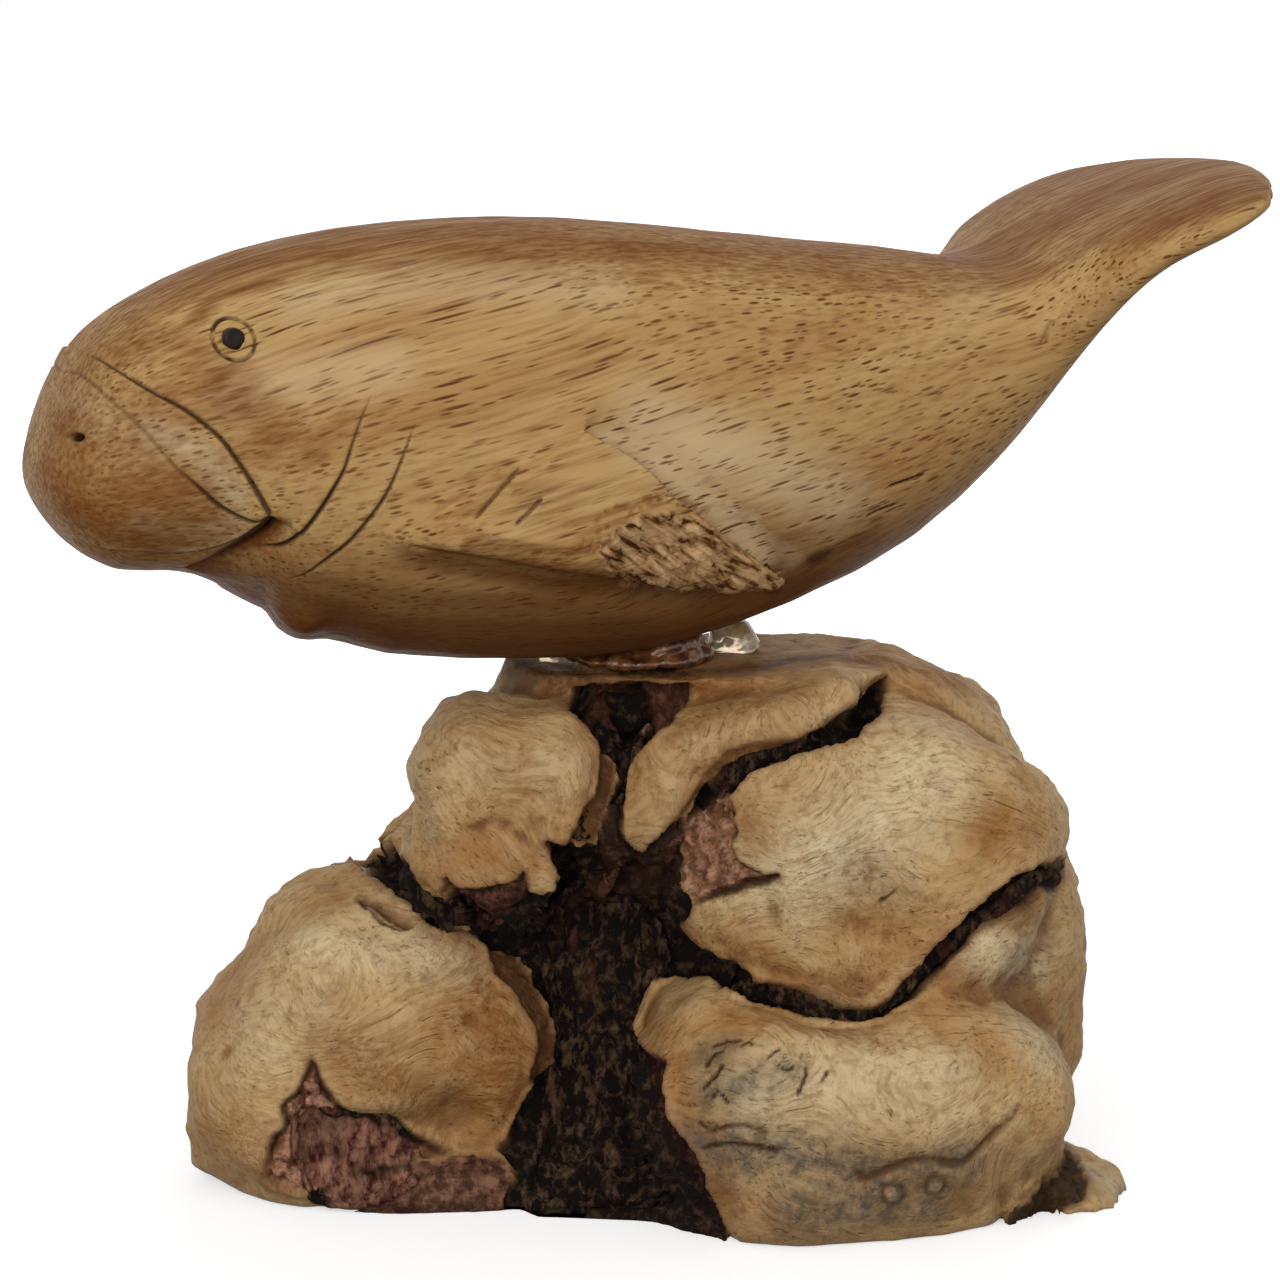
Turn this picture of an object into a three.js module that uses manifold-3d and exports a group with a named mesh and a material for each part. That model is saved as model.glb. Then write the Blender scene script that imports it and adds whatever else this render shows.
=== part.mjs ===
// Wooden manatee carving, glued and dowelled onto a burl root base. Millimetres, +Z up.
// The origin is on the root's sawn underside, straight below the dowel. The root's good face looks to -Y.
// The manatee is carved from one block in a frame of its own: nose to -X, belly seat at z = 0 over the dowel.
import * as THREE from "three";
import { LoftGeometry } from "three/addons/geometries/LoftGeometry.js";
import { ImprovedNoise } from "three/addons/math/ImprovedNoise.js";
import { mergeVertices } from "three/addons/utils/BufferGeometryUtils.js";
import Module from "manifold-3d";

const wasm = await Module();
wasm.setup();

// Driving dimensions of the assembly
const bodyLength = 157.6; // nose to tail edge
const bodyWidth = 60; // across the paddle tail, its widest place
const rootWidth = 116.5; // across the knobs
const rootDepth = 72; // good face to back, over the knobs
const rootTop = 65; // underside of the root to the seat that the dowel is drilled into
const glueLine = 1.5; // belly to seat, filled by glue round the dowel
const bodyTurn = 21; // degrees that the manatee is turned on the dowel, nose towards the good face
const fitGap = 0.3; // clearance round every seated piece

// Driving dimensions of the fixings and inlays
const dowelDiameter = 8;
const dowelInRoot = 18;
const dowelInBody = 15;
const dowelChamfer = 0.8;
const eyeDiameter = 2.6;
const eyeInset = 4;
const eyeProud = 0.5;
const eyeX = -56;
const eyeZ = 42;
const eyeSocketReach = 4; // how far the socket's cutter stands out of the flank
const glueReach = 9.5; // radius of the squeezed glue on the seat
const glueBelly = 7.5; // its radius at the belly
const glueDrops = {
  tail_side: { bearing: 24, width: 6.5, height: 4 },
  head_side: { bearing: 192, width: 3.4, height: 2.2 },
};

// Carved body, nose to tail: [top x, top z, bottom x, bottom z, half width]
const bodyStations = [
  [-76.4, 26.6, -76.4, 24.0, 3.5],
  [-75.7, 29.4, -75.8, 21.8, 8],
  [-72.8, 37.0, -72.9, 17.4, 13.5],
  [-68.7, 42.2, -67.6, 13.9, 16.5],
  [-62.6, 46.1, -60.8, 13.4, 18.5],
  [-55.4, 49.2, -54.4, 11.2, 20],
  [-44.3, 52.2, -45.4, 4.0, 22.5],
  [-30.7, 53.8, -31.3, 1.4, 25],
  [-18.1, 54.1, -18.4, 0.1, 26],
  [-2.6, 53.0, -1.3, 0.3, 26],
  [13.2, 51.2, 16.5, 4.8, 24.5],
  [28.0, 49.5, 32.5, 11.6, 21.5],
  [37.0, 48.4, 43.3, 20.2, 19.5],
  [42.5, 47.6, 50.1, 28.0, 19.5],
  [47.3, 48.2, 54.0, 35.2, 22],
  [52.6, 51.0, 57.6, 42.0, 26],
  [58.0, 53.4, 61.4, 46.2, 28],
  [64.3, 55.7, 66.6, 49.2, 30],
  [71.4, 58.0, 73.0, 52.4, 28],
  [77.4, 59.0, 78.4, 55.2, 18],
  [80.8, 59.0, 81.2, 57.2, 8],
];
const bodySquareness = 2.25; // exponent of the cross-section, 2 being an ellipse
const bodyRingPoints = 32;
const bodyRingsPerStation = 2;

// Flippers, shoulder to tip: [upper x, upper z, lower x, lower z, distance from the middle plane, thickness]
const flipperStations = [
  [-24, 35, -43, 20, 20.5, 5],
  [-14, 33, -36, 16, 22.6, 9],
  [-5, 26, -21, 12.4, 23.4, 9],
  [2, 19.6, -7, 10.8, 23, 7.4],
  [7.5, 14, 4, 10, 22.2, 4.8],
  [9.8, 11.6, 8.8, 10.4, 21.8, 2],
];
const flipperSquareness = 2.6;
const flipperRingPoints = 18;

// Root stump under the knobs, foot to seat: [z, centre x, centre y, half width, half depth]
const stumpStations = [
  [0, -1, 3, 44, 28],
  [12, -1, 6, 43, 22],
  [30, 0, 7, 38, 18],
  [rootTop - 19, 4, 6, 30, 15],
  [rootTop - 6, 8, 4, 27, 14],
];
const stumpSeat = [9, 2, 25, 16]; // the seat's centre x and y, half width and half depth
const stumpRingPoints = 28;

// Burl knobs round the stump: [centre x, y, z, width, depth, height, turn about z, tilt about y, lump seed]
const knobs = {
  upperLeft: [-15, -12.5, rootTop - 17, 28, 25, 29, 0, 4, 1],
  lowerLeft: [-32, -4, 13.5, 47, 38, 46, 12, 29, 2],
  upperRight: [27.5, -13, rootTop - 22, 46, 30, 38, -6, 12, 3],
  finger: [14, -13.5, rootTop - 5, 27, 18, 7.6, 4, -15, 4],
  fingerTip: [2.2, -14.5, rootTop - 13, 9.5, 16, 18, 0, 18, 14],
  lowerRight: [25, -16, (rootTop - 41) / 2, 54, 42, rootTop - 28, -4, 2, 5],
  rightSide: [42, 0, (rootTop - 15) / 2, 27, 36, rootTop - 21, 0, 0, 6],
  rightShoulder: [31, 4, rootTop - 16, 30, 28, 32, 0, 26, 7],
  rightToe: [48, -12, 0, 26, 22, 10, -16, 10, 8],
  frontFoot: [-27, -14, 0, 27, 28, 11, 4, 0, 13],
  backLeft: [-27, 13, 15, 44, 36, 40, -14, 24, 9],
  backRight: [22, 17, 19, 48, 36, 44, 12, -6, 10],
  backUpper: [9, 13, rootTop - 19, 42, 27, 36, -4, -6, 11],
  leftShoulder: [-9, 5, rootTop - 16, 25, 26, 26, 0, -2, 12],
};
const knobDetail = 4; // icosahedron subdivisions of a knob
const knobLump = 0.1; // height of a knob's lumps, as a share of its half size
const knobLumpsAcross = 1.7; // lumps across a knob's half size
const knobSquareness = 2.8;
const knobSeedStep = 7.3; // how far apart two knobs' lumps are read from the noise

// Clefts between the knobs, as seen from outside. view is the azimuth they are seen from, recess is how far
// their bark lies below the knobs, and path is [across, up, width].
const clefts = {
  main: {
    view: 0,
    depth: 6,
    recess: 1.2,
    path: [
      [-1.5, rootTop - 4, 9],
      [-2.8, rootTop - 9, 7],
      [-4.4, rootTop - 14, 5.5],
      [-6, rootTop - 20, 7],
      [-4.5, rootTop - 26, 14],
      [-4.5, 30, 18],
      [-5.5, 21, 12],
      [-5, 13, 15],
      [-4.5, 5, 21],
      [-4, -6, 24],
    ],
  },
  left: {
    view: 0,
    depth: 5,
    recess: 2.2,
    path: [
      [-35, 42.5, 3],
      [-30, 41, 4.5],
      [-24.5, 38, 5],
      [-18, 35, 5],
      [-13, 32.8, 5],
    ],
  },
  upper: {
    view: 0,
    depth: 4,
    recess: 1.8,
    path: [
      [31.5, rootTop - 1, 2.5],
      [28.5, rootTop - 2.4, 3],
      [25, rootTop - 4, 3],
      [18.5, rootTop - 6.5, 3.2],
      [12, rootTop - 9.6, 3.6],
      [7.5, rootTop - 14.5, 4.5],
    ],
  },
  right: {
    view: 0,
    depth: 5,
    recess: 2.2,
    path: [
      [10.5, rootTop - 35.5, 4],
      [18, rootTop - 37, 4],
      [27.5, rootTop - 38, 4],
      [36.5, rootTop - 31.1, 3.5],
      [45, rootTop - 24.5, 3],
      [50, rootTop - 21, 2.5],
    ],
  },
  foot: {
    view: 0,
    depth: 6,
    recess: 2.5,
    path: [
      [-40, 18.6, 2],
      [-40.2, 13, 5.5],
      [-38, 9.5, 12],
      [-34.5, 6, 18],
      [-33, 2.5, 16],
    ],
  },
  back: {
    view: 180,
    depth: 7,
    recess: 3,
    path: [
      [4, rootTop - 5, 6],
      [2, rootTop - 16, 9],
      [5, 36, 12],
      [2, 20, 10],
      [4, -6, 14],
    ],
  },
  back_left: {
    view: 180,
    depth: 5,
    recess: 2.2,
    path: [
      [6, 37, 5],
      [14, 40, 6],
      [26, 41, 6],
      [38, 37, 4],
    ],
  },
  back_right: {
    view: 180,
    depth: 5,
    recess: 2.2,
    path: [
      [-1, 30, 5],
      [-12, 33, 6],
      [-24, 31, 6],
      [-36, 37, 4],
    ],
  },
};
const cleftRingPoints = 10;
const cleftRingsPerPoint = 3;
const cleftEndDepth = 0.5; // depth left at a cleft's ends, as a share of its depth
const openingSpread = 2; // how many times wider and deeper the cutter is that opens the bark's face
const barkLift = 0.5; // height of the lowest bark above the underside

// The two tables' own sizes, and how far the driving dimensions stretch them
const spanOf = (rows, low, high) => Math.max(...rows.map(high)) - Math.min(...rows.map(low));
const bodyStretch = {
  x: bodyLength / spanOf(bodyStations, (row) => row[0], (row) => row[2]),
  y: bodyWidth / spanOf(bodyStations, (row) => -row[4], (row) => row[4]),
};
const knobRows = Object.values(knobs);
const rootStretch = {
  x: rootWidth / spanOf(knobRows, (row) => row[0] - row[3] / 2, (row) => row[0] + row[3] / 2),
  y: rootDepth / spanOf(knobRows, (row) => row[1] - row[4] / 2, (row) => row[1] + row[4] / 2),
};

const worldSpan = 400; // longer than the object, for rays and cutting slabs

// Fineness of the round pieces
const dowelSides = 24;
const eyeSides = 16;
const eyeDomePoints = 5;
const beadSides = 16;
const beadRings = 10;
const collarSides = 32;

// A closed geometry as a solid, its faces turned outwards.
function solidFrom(geometry) {
  const bare = new THREE.BufferGeometry().setAttribute("position", geometry.attributes.position);
  const merged = mergeVertices(bare.setIndex(geometry.index), 1e-3);
  const faces = [];
  for (let i = 0; i < merged.index.count; i += 3) {
    const [a, b, c] = [0, 1, 2].map((k) => merged.index.getX(i + k));
    if (a !== b && b !== c && c !== a) faces.push(a, b, c);
  }
  const make = (triangles) =>
    new wasm.Manifold(
      new wasm.Mesh({
        numProp: 3,
        vertProperties: merged.attributes.position.array,
        triVerts: new Uint32Array(triangles),
      }),
    );
  const made = make(faces);
  return made.volume() > 0 ? made : make(faces.reverse());
}

// A solid back as a three.js geometry.
function geometryFrom(solid) {
  const mesh = solid.getMesh();
  return new THREE.BufferGeometry()
    .setAttribute("position", new THREE.BufferAttribute(mesh.vertProperties, 3))
    .setIndex(new THREE.BufferAttribute(mesh.triVerts, 1));
}

// Rows of numbers read as smooth curves, so that row(t) is the row at share t of the way along.
function smoothRows(rows) {
  const columns = rows[0].map((_, column) => {
    const points = rows.map((row, i) => new THREE.Vector3(i, row[column], 0));
    return new THREE.CatmullRomCurve3(points, false, "catmullrom", 0.5);
  });
  return (t) => columns.map((curve) => curve.getPoint(t).y);
}

// One ring of a cross-section round a centre, from the half axes that span it.
function ring(centre, side, up, points, squareness = 2) {
  return Array.from({ length: points }, (_, i) => {
    const angle = (i / points) * 2 * Math.PI;
    const [c, s] = [Math.cos(angle), Math.sin(angle)];
    const across = Math.sign(c) * Math.abs(c) ** (2 / squareness);
    const along = Math.sign(s) * Math.abs(s) ** (2 / squareness);
    return centre.clone().addScaledVector(side, across).addScaledVector(up, along);
  });
}

function loft(rings) {
  return new LoftGeometry(rings, { capStart: true, capEnd: true });
}

// The block that the body, head and paddle tail are carved from.
function carvedTrunk() {
  const row = smoothRows(bodyStations);
  const steps = (bodyStations.length - 1) * bodyRingsPerStation;
  const rings = [];
  for (let i = 0; i <= steps; i++) {
    const [topX, topZ, bottomX, bottomZ, halfWidth] = row(i / steps);
    const top = new THREE.Vector3(topX * bodyStretch.x, 0, topZ);
    const bottom = new THREE.Vector3(bottomX * bodyStretch.x, 0, bottomZ);
    const centre = top.clone().add(bottom).multiplyScalar(0.5);
    const up = top.clone().sub(bottom).multiplyScalar(0.5);
    const side = new THREE.Vector3(0, halfWidth * bodyStretch.y, 0);
    rings.push(ring(centre, side, up, bodyRingPoints, bodySquareness));
  }
  return solidFrom(loft(rings));
}

// A flipper that grows out of the shoulder and stands off the flank at its tip. side is -1 for the left one.
function flipper(side) {
  const rings = flipperStations.map(([upperX, upperZ, lowerX, lowerZ, out, thickness]) => {
    const aside = side * out * bodyStretch.y;
    const upper = new THREE.Vector3(upperX * bodyStretch.x, aside, upperZ);
    const lower = new THREE.Vector3(lowerX * bodyStretch.x, aside, lowerZ);
    const centre = upper.clone().add(lower).multiplyScalar(0.5);
    const half = upper.clone().sub(lower).multiplyScalar(0.5);
    return ring(centre, new THREE.Vector3(0, thickness / 2, 0), half, flipperRingPoints, flipperSquareness);
  });
  return solidFrom(loft(rings));
}

// A round bar along z from one height to another, chamfered at both ends.
function bar(diameter, from, to, chamfer = 0) {
  const radius = diameter / 2;
  const profile = [
    [0, from],
    [radius - chamfer, from],
    [radius, from + chamfer],
    [radius, to - chamfer],
    [radius - chamfer, to],
    [0, to],
  ].map(([r, z]) => new THREE.Vector2(r, z));
  return new THREE.LatheGeometry(profile, dowelSides).rotateX(Math.PI / 2);
}

// Half width of the carved trunk at a place on its flank.
function flankAt(trunk, x, z) {
  const mesh = new THREE.Mesh(geometryFrom(trunk), new THREE.MeshBasicMaterial());
  const caster = new THREE.Raycaster(new THREE.Vector3(x, -worldSpan, z), new THREE.Vector3(0, 1, 0));
  return -caster.intersectObject(mesh)[0].point.y;
}

// Peg that fills an eye: a short bar with a domed face, lying across the head. side is -1 for the left eye.
function eyePeg(side, flank, diameter, inset, proud) {
  const radius = diameter / 2;
  const dome = new THREE.Path();
  dome.moveTo(0, -inset);
  dome.lineTo(radius, -inset);
  dome.lineTo(radius, 0);
  dome.quadraticCurveTo(radius, proud, 0, proud);
  const peg = new THREE.LatheGeometry(dome.getPoints(eyeDomePoints), eyeSides);
  if (side < 0) peg.rotateX(Math.PI);
  return peg.translate(eyeX * bodyStretch.x, side * flank, eyeZ);
}

// Stump of the root, closed by its seat.
function stump() {
  const [seatX, seatY, seatWidth, seatDepth] = stumpSeat;
  const rows = [...stumpStations, [rootTop, seatX, seatY, seatWidth, seatDepth]];
  const rings = rows.map(([z, x, y, halfWidth, halfDepth]) =>
    ring(
      new THREE.Vector3(x * rootStretch.x, y * rootStretch.y, z),
      new THREE.Vector3(halfWidth * rootStretch.x, 0, 0),
      new THREE.Vector3(0, halfDepth * rootStretch.y, 0),
      stumpRingPoints,
      knobSquareness,
    ),
  );
  return solidFrom(loft(rings));
}

// One burl knob: a squarish boulder with soft lumps.
function knob([x, y, z, width, depth, height, turn, tilt, seed]) {
  const noise = new ImprovedNoise();
  const geometry = new THREE.IcosahedronGeometry(1, knobDetail);
  const place = geometry.attributes.position;
  const point = new THREE.Vector3();
  for (let i = 0; i < place.count; i++) {
    point.fromBufferAttribute(place, i);
    const flat = [point.x, point.y, point.z].map((v) => Math.abs(v) ** knobSquareness);
    const reach = (flat[0] + flat[1] + flat[2]) ** (-1 / knobSquareness);
    const grain = point.clone().multiplyScalar(knobLumpsAcross).addScalar(seed * knobSeedStep);
    const lump = 1 + knobLump * noise.noise(grain.x, grain.y, grain.z);
    place.setXYZ(i, ...point.multiplyScalar(reach * lump).toArray());
  }
  const pose = new THREE.Matrix4()
    .makeTranslation(x * rootStretch.x, y * rootStretch.y, z)
    .multiply(new THREE.Matrix4().makeRotationZ(THREE.MathUtils.degToRad(turn)))
    .multiply(new THREE.Matrix4().makeRotationY(THREE.MathUtils.degToRad(tilt)))
    .scale(new THREE.Vector3((width * rootStretch.x) / 2, (depth * rootStretch.y) / 2, height / 2));
  return solidFrom(geometry.applyMatrix4(pose));
}

// A slab that reaches far past the object, with its top at a height.
function slabBelow(height) {
  const slab = new THREE.BoxGeometry(worldSpan, worldSpan, worldSpan);
  return solidFrom(slab.translate(0, 0, height - worldSpan / 2));
}

// The largest body of a solid that a cut may have parted.
function largestOf(solid) {
  return solid.decompose().reduce((a, b) => (a.volume() > b.volume() ? a : b));
}

// Where a traced path lies on a surface seen from an azimuth.
function pathOn(surface, view, path) {
  const angle = THREE.MathUtils.degToRad(view);
  const across = new THREE.Vector3(Math.cos(angle), Math.sin(angle), 0);
  const inward = new THREE.Vector3(-Math.sin(angle), Math.cos(angle), 0);
  const mesh = new THREE.Mesh(geometryFrom(surface), new THREE.MeshBasicMaterial({ side: THREE.DoubleSide }));
  const reaches = path.map(([sideways, up]) => {
    const from = across.clone().multiplyScalar(sideways * rootStretch.x).setZ(up);
    from.addScaledVector(inward, -worldSpan);
    const hit = new THREE.Raycaster(from, inward).intersectObject(mesh)[0];
    return hit ? hit.distance : undefined;
  });
  const points = path.map(([sideways, up], i) => {
    const reach = reaches[i] ?? reaches.slice(i).find(Boolean) ?? reaches.findLast(Boolean);
    const place = across.clone().multiplyScalar(sideways * rootStretch.x).setZ(up);
    return place.addScaledVector(inward, reach - worldSpan);
  });
  return { points, out: inward.clone().negate() };
}

// A trench along traced points, an ellipse in section. skip leaves out rings at each end, lift moves it out.
function trench({ points, out }, widths, halfDepth, skip = 0, lift = 0) {
  const curve = new THREE.CatmullRomCurve3(points);
  const width = smoothRows(widths.map((value) => [value]));
  const steps = (points.length - 1) * cleftRingsPerPoint;
  const rings = [];
  for (let i = skip; i <= steps - skip; i++) {
    const share = i / steps;
    const along = curve.getTangent(share);
    const side = out.clone().cross(along).normalize();
    const up = along.clone().cross(side).normalize();
    const swell = cleftEndDepth + (1 - cleftEndDepth) * Math.sqrt(Math.sin(share * Math.PI));
    side.multiplyScalar(width(share)[0] / 2);
    up.multiplyScalar(halfDepth * swell);
    const centre = curve.getPoint(share).addScaledVector(out, lift);
    rings.push(ring(centre, side, up, cleftRingPoints));
  }
  return solidFrom(loft(rings));
}

// A bead of glue that ran out past the collar: a flattened ball on the seat, at a bearing from the dowel.
function glueBead({ bearing, width, height }) {
  const angle = THREE.MathUtils.degToRad(bearing);
  const away = glueReach + fitGap + width / 2;
  return new THREE.SphereGeometry(1, beadSides, beadRings)
    .scale(width / 2, width / 2, height)
    .translate(away * Math.cos(angle), away * Math.sin(angle), rootTop);
}

// The collar of glue round the dowel, drawn past the seat and the belly so that both can be cut from it.
function glueCollar(overlap) {
  const inner = dowelDiameter / 2 + fitGap;
  const profile = [
    [inner, rootTop - overlap],
    [glueReach, rootTop - overlap],
    [glueReach, rootTop],
    [glueBelly, rootTop + glueLine],
    [glueBelly, rootTop + glueLine + overlap],
    [inner, rootTop + glueLine + overlap],
    [inner, rootTop - overlap],
  ].map(([r, z]) => new THREE.Vector2(r, z));
  return new THREE.LatheGeometry(profile, collarSides).rotateX(Math.PI / 2);
}

// Materials, by the look of each piece
const finishes = {
  carvedWood: new THREE.MeshStandardMaterial({ color: 0xae8a59, roughness: 0.45, metalness: 0 }),
  eye: new THREE.MeshStandardMaterial({ color: 0x1d1613, roughness: 0.25, metalness: 0 }),
  dowel: new THREE.MeshStandardMaterial({ color: 0xc29a66, roughness: 0.7, metalness: 0 }),
  glue: new THREE.MeshStandardMaterial({ color: 0x7a4a26, roughness: 0.2, metalness: 0 }),
  clearGlue: new THREE.MeshStandardMaterial({ color: 0xd8c9a8, roughness: 0.1, metalness: 0 }),
  burl: new THREE.MeshStandardMaterial({ color: 0xab9573, roughness: 0.6, metalness: 0 }),
  bark: new THREE.MeshStandardMaterial({ color: 0x2a1c14, roughness: 0.95, metalness: 0 }),
};

const part = new THREE.Group();
const manatee = new THREE.Group();
const turn = THREE.MathUtils.degToRad(bodyTurn);
manatee.position.z = rootTop + glueLine;
manatee.rotation.z = turn;
part.add(manatee);

function addPiece(group, name, geometry, finish) {
  const mesh = new THREE.Mesh(geometry, finish.clone());
  mesh.name = name;
  group.add(mesh);
}

// The carving, with its dowel hole and eye sockets
const trunk = carvedTrunk();
const flank = flankAt(trunk, eyeX * bodyStretch.x, eyeZ);
let carving = trunk.add(flipper(-1)).add(flipper(1));
const holeDiameter = dowelDiameter + 2 * fitGap;
carving = carving.subtract(solidFrom(bar(holeDiameter, -worldSpan / 4, dowelInBody + fitGap)));
for (const side of [-1, 1]) {
  const socket = eyePeg(side, flank, eyeDiameter + 2 * fitGap, eyeInset + fitGap, eyeSocketReach);
  carving = carving.subtract(solidFrom(socket));
}
addPiece(manatee, "manatee_body", geometryFrom(carving), finishes.carvedWood);
addPiece(manatee, "left_eye", eyePeg(-1, flank, eyeDiameter, eyeInset, eyeProud), finishes.eye);
addPiece(manatee, "right_eye", eyePeg(1, flank, eyeDiameter, eyeInset, eyeProud), finishes.eye);

// The root, with its clefts and dowel hole
let mound = stump();
for (const sizes of knobRows) mound = mound.add(knob(sizes));
mound = mound.subtract(slabBelow(0));
let root = mound;
const barks = {};
let filled = slabBelow(barkLift);
for (const [name, { view, depth, recess, path }] of Object.entries(clefts)) {
  const line = pathOn(mound, view, path);
  const widths = path.map(([, , width]) => width);
  const cleft = trench(line, widths, depth);
  const narrower = widths.map((width) => width - 2 * fitGap);
  const wider = widths.map((width) => width * openingSpread);
  const openDepth = depth * openingSpread;
  const open = trench(line, wider, openDepth, 0, openDepth - recess);
  const fill = trench(line, narrower, depth - fitGap, 1).subtract(open);
  barks[name] = largestOf(fill.intersect(mound).subtract(filled));
  root = root.subtract(cleft);
  filled = filled.add(cleft);
}
root = root.subtract(solidFrom(bar(holeDiameter, rootTop - dowelInRoot - fitGap, worldSpan / 2)));
addPiece(part, "root_base", geometryFrom(root), finishes.burl);
for (const [name, bark] of Object.entries(barks)) {
  addPiece(part, `bark_${name}`, geometryFrom(bark), finishes.bark);
}

// The dowel and the glue round it, cut clear of the belly and of the seat
const dowel = bar(dowelDiameter, rootTop - dowelInRoot, rootTop + glueLine + dowelInBody, dowelChamfer);
addPiece(part, "mounting_dowel", dowel, finishes.dowel);
const belly = geometryFrom(carving).rotateZ(turn).translate(0, 0, rootTop + glueLine - fitGap);
const seat = geometryFrom(root).translate(0, 0, fitGap);
const around = solidFrom(belly).add(solidFrom(seat));
const collar = largestOf(solidFrom(glueCollar(glueLine)).subtract(around));
addPiece(part, "glue_collar", geometryFrom(collar), finishes.glue);
for (const [name, sizes] of Object.entries(glueDrops)) {
  const bead = largestOf(solidFrom(glueBead(sizes)).subtract(around));
  addPiece(part, `glue_drop_${name}`, geometryFrom(bead), finishes.clearGlue);
}

export default part;
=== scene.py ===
import math
import bmesh
import bpy
import numpy as np
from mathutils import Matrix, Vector, noise
from mathutils.bvhtree import BVHTree


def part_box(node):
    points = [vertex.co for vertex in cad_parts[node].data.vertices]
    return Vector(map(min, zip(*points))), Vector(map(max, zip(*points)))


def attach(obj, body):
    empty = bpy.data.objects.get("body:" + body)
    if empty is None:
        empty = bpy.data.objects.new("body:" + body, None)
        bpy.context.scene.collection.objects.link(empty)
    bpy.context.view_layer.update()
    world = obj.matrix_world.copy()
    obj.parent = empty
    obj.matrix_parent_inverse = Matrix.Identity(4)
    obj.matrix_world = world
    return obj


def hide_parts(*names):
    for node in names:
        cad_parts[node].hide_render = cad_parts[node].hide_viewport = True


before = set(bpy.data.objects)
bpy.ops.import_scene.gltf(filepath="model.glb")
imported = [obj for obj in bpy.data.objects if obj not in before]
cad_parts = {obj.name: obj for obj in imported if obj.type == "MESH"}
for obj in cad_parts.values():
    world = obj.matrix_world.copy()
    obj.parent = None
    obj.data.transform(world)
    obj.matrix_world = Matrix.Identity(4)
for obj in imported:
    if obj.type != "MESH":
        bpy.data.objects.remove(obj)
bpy.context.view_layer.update()        # one body, root, and its nodes
mm = 0.001
print("frame loaded:", len(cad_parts), "nodes")

# the photograph's camera, which also places every carved detail that is given as pixels
photoView = {
    "pixels": 1280,
    "pixelSize": 0.125,        # mm of one pixel at the dowel
    "distance": 500.0,
    "elevation": 10.0,
    "aimHeight": 67.3,
    "sensor": 36.0,
}
tilt = math.radians(photoView["elevation"])
viewUp = np.array([0.0, math.sin(tilt), math.cos(tilt)])
viewIn = np.array([0.0, math.cos(tilt), -math.sin(tilt)])
viewRight = np.array([1.0, 0.0, 0.0])
aimPoint = np.array([0.0, 0.0, photoView["aimHeight"]])
eyePoint = aimPoint - viewIn * photoView["distance"]

cameraData = bpy.data.cameras.new("photoCamera")
cameraData.sensor_width = photoView["sensor"]
viewWidth = photoView["pixels"] * photoView["pixelSize"]
cameraData.lens = photoView["sensor"] * photoView["distance"] / viewWidth
camera = bpy.data.objects.new("photoCamera", cameraData)
camera.location = Vector(eyePoint) * mm
camera.rotation_euler = (math.pi / 2 - tilt, 0, 0)
bpy.context.scene.collection.objects.link(camera)
bpy.context.scene.camera = camera
bpy.context.scene.view_settings.view_transform = "Standard"


# small tools

def linear(hexColour):
    channels = [int(hexColour[i:i + 2], 16) / 255 for i in (1, 3, 5)]
    return tuple(c / 12.92 if c <= 0.04045 else ((c + 0.055) / 1.055) ** 2.4 for c in channels) + (1.0,)


def addNode(tree, kind, links=None, **settings):
    node = tree.nodes.new("ShaderNode" + kind)
    for name, value in settings.items():
        setattr(node, name, value)
    for socket, value in (links or {}).items():
        if isinstance(value, bpy.types.NodeSocket):
            tree.links.new(value, node.inputs[socket])
        else:
            node.inputs[socket].default_value = value
    return node


def newMaterial(name):
    # an empty material, its tree, and the places on its object in mm
    made = bpy.data.materials.new(name)
    made.use_nodes = True
    tree = made.node_tree
    tree.nodes.clear()
    place = addNode(tree, "TexCoord")
    space = addNode(tree, "Mapping", {"Vector": place.outputs["Object"], "Scale": (1 / mm, 1 / mm, 1 / mm)})
    return made, tree, space


def finishMaterial(made, tree, settings):
    shader = addNode(tree, "BsdfPrincipled", settings)
    addNode(tree, "OutputMaterial", {"Surface": shader.outputs[0]})
    return made


def newObject(name, mesh):
    made = bpy.data.objects.new(name, mesh)
    bpy.context.scene.collection.objects.link(made)
    return made


def toPixels(points):
    # mm points as pixels of the photograph
    away = points - eyePoint
    scale = photoView["distance"] / (away @ viewIn) / photoView["pixelSize"]
    centre = photoView["pixels"] / 2
    return np.stack([centre + away @ viewRight * scale, centre - away @ viewUp * scale], axis=1)


def smoothPixels(pixels, perStretch=6):
    # a Catmull-Rom line through given pixels
    p = np.array([pixels[0]] + list(pixels) + [pixels[-1]], float)
    line = []
    for i in range(1, len(p) - 2):
        for t in np.arange(perStretch) / perStretch:
            line.append(0.5 * (2 * p[i] + (p[i + 1] - p[i - 1]) * t
                               + (2 * p[i - 1] - 5 * p[i] + 4 * p[i + 1] - p[i + 2]) * t * t
                               + (3 * p[i] - p[i - 1] - 3 * p[i + 1] + p[i + 2]) * t ** 3))
    line.append(p[-2])
    return np.array(line)


def onSurface(skin, pixels):
    # where the photograph's rays through these pixels meet a piece, in mm
    hits = []
    centre = photoView["pixels"] / 2
    for x, y in pixels:
        across = (x - centre) * photoView["pixelSize"]
        up = (centre - y) * photoView["pixelSize"]
        ray = aimPoint + viewRight * across + viewUp * up - eyePoint
        hit = skin.ray_cast(Vector(eyePoint), Vector(ray).normalized())[0]
        if hit is not None:
            hits.append(hit)
    return np.array(hits)


def traced(skin, pixels):
    return onSurface(skin, smoothPixels(pixels))


def readVertices(piece, kind):
    flat = np.empty(len(piece.data.vertices) * 3)
    piece.data.vertices.foreach_get(kind, flat)
    return flat.reshape(-1, 3)


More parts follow.
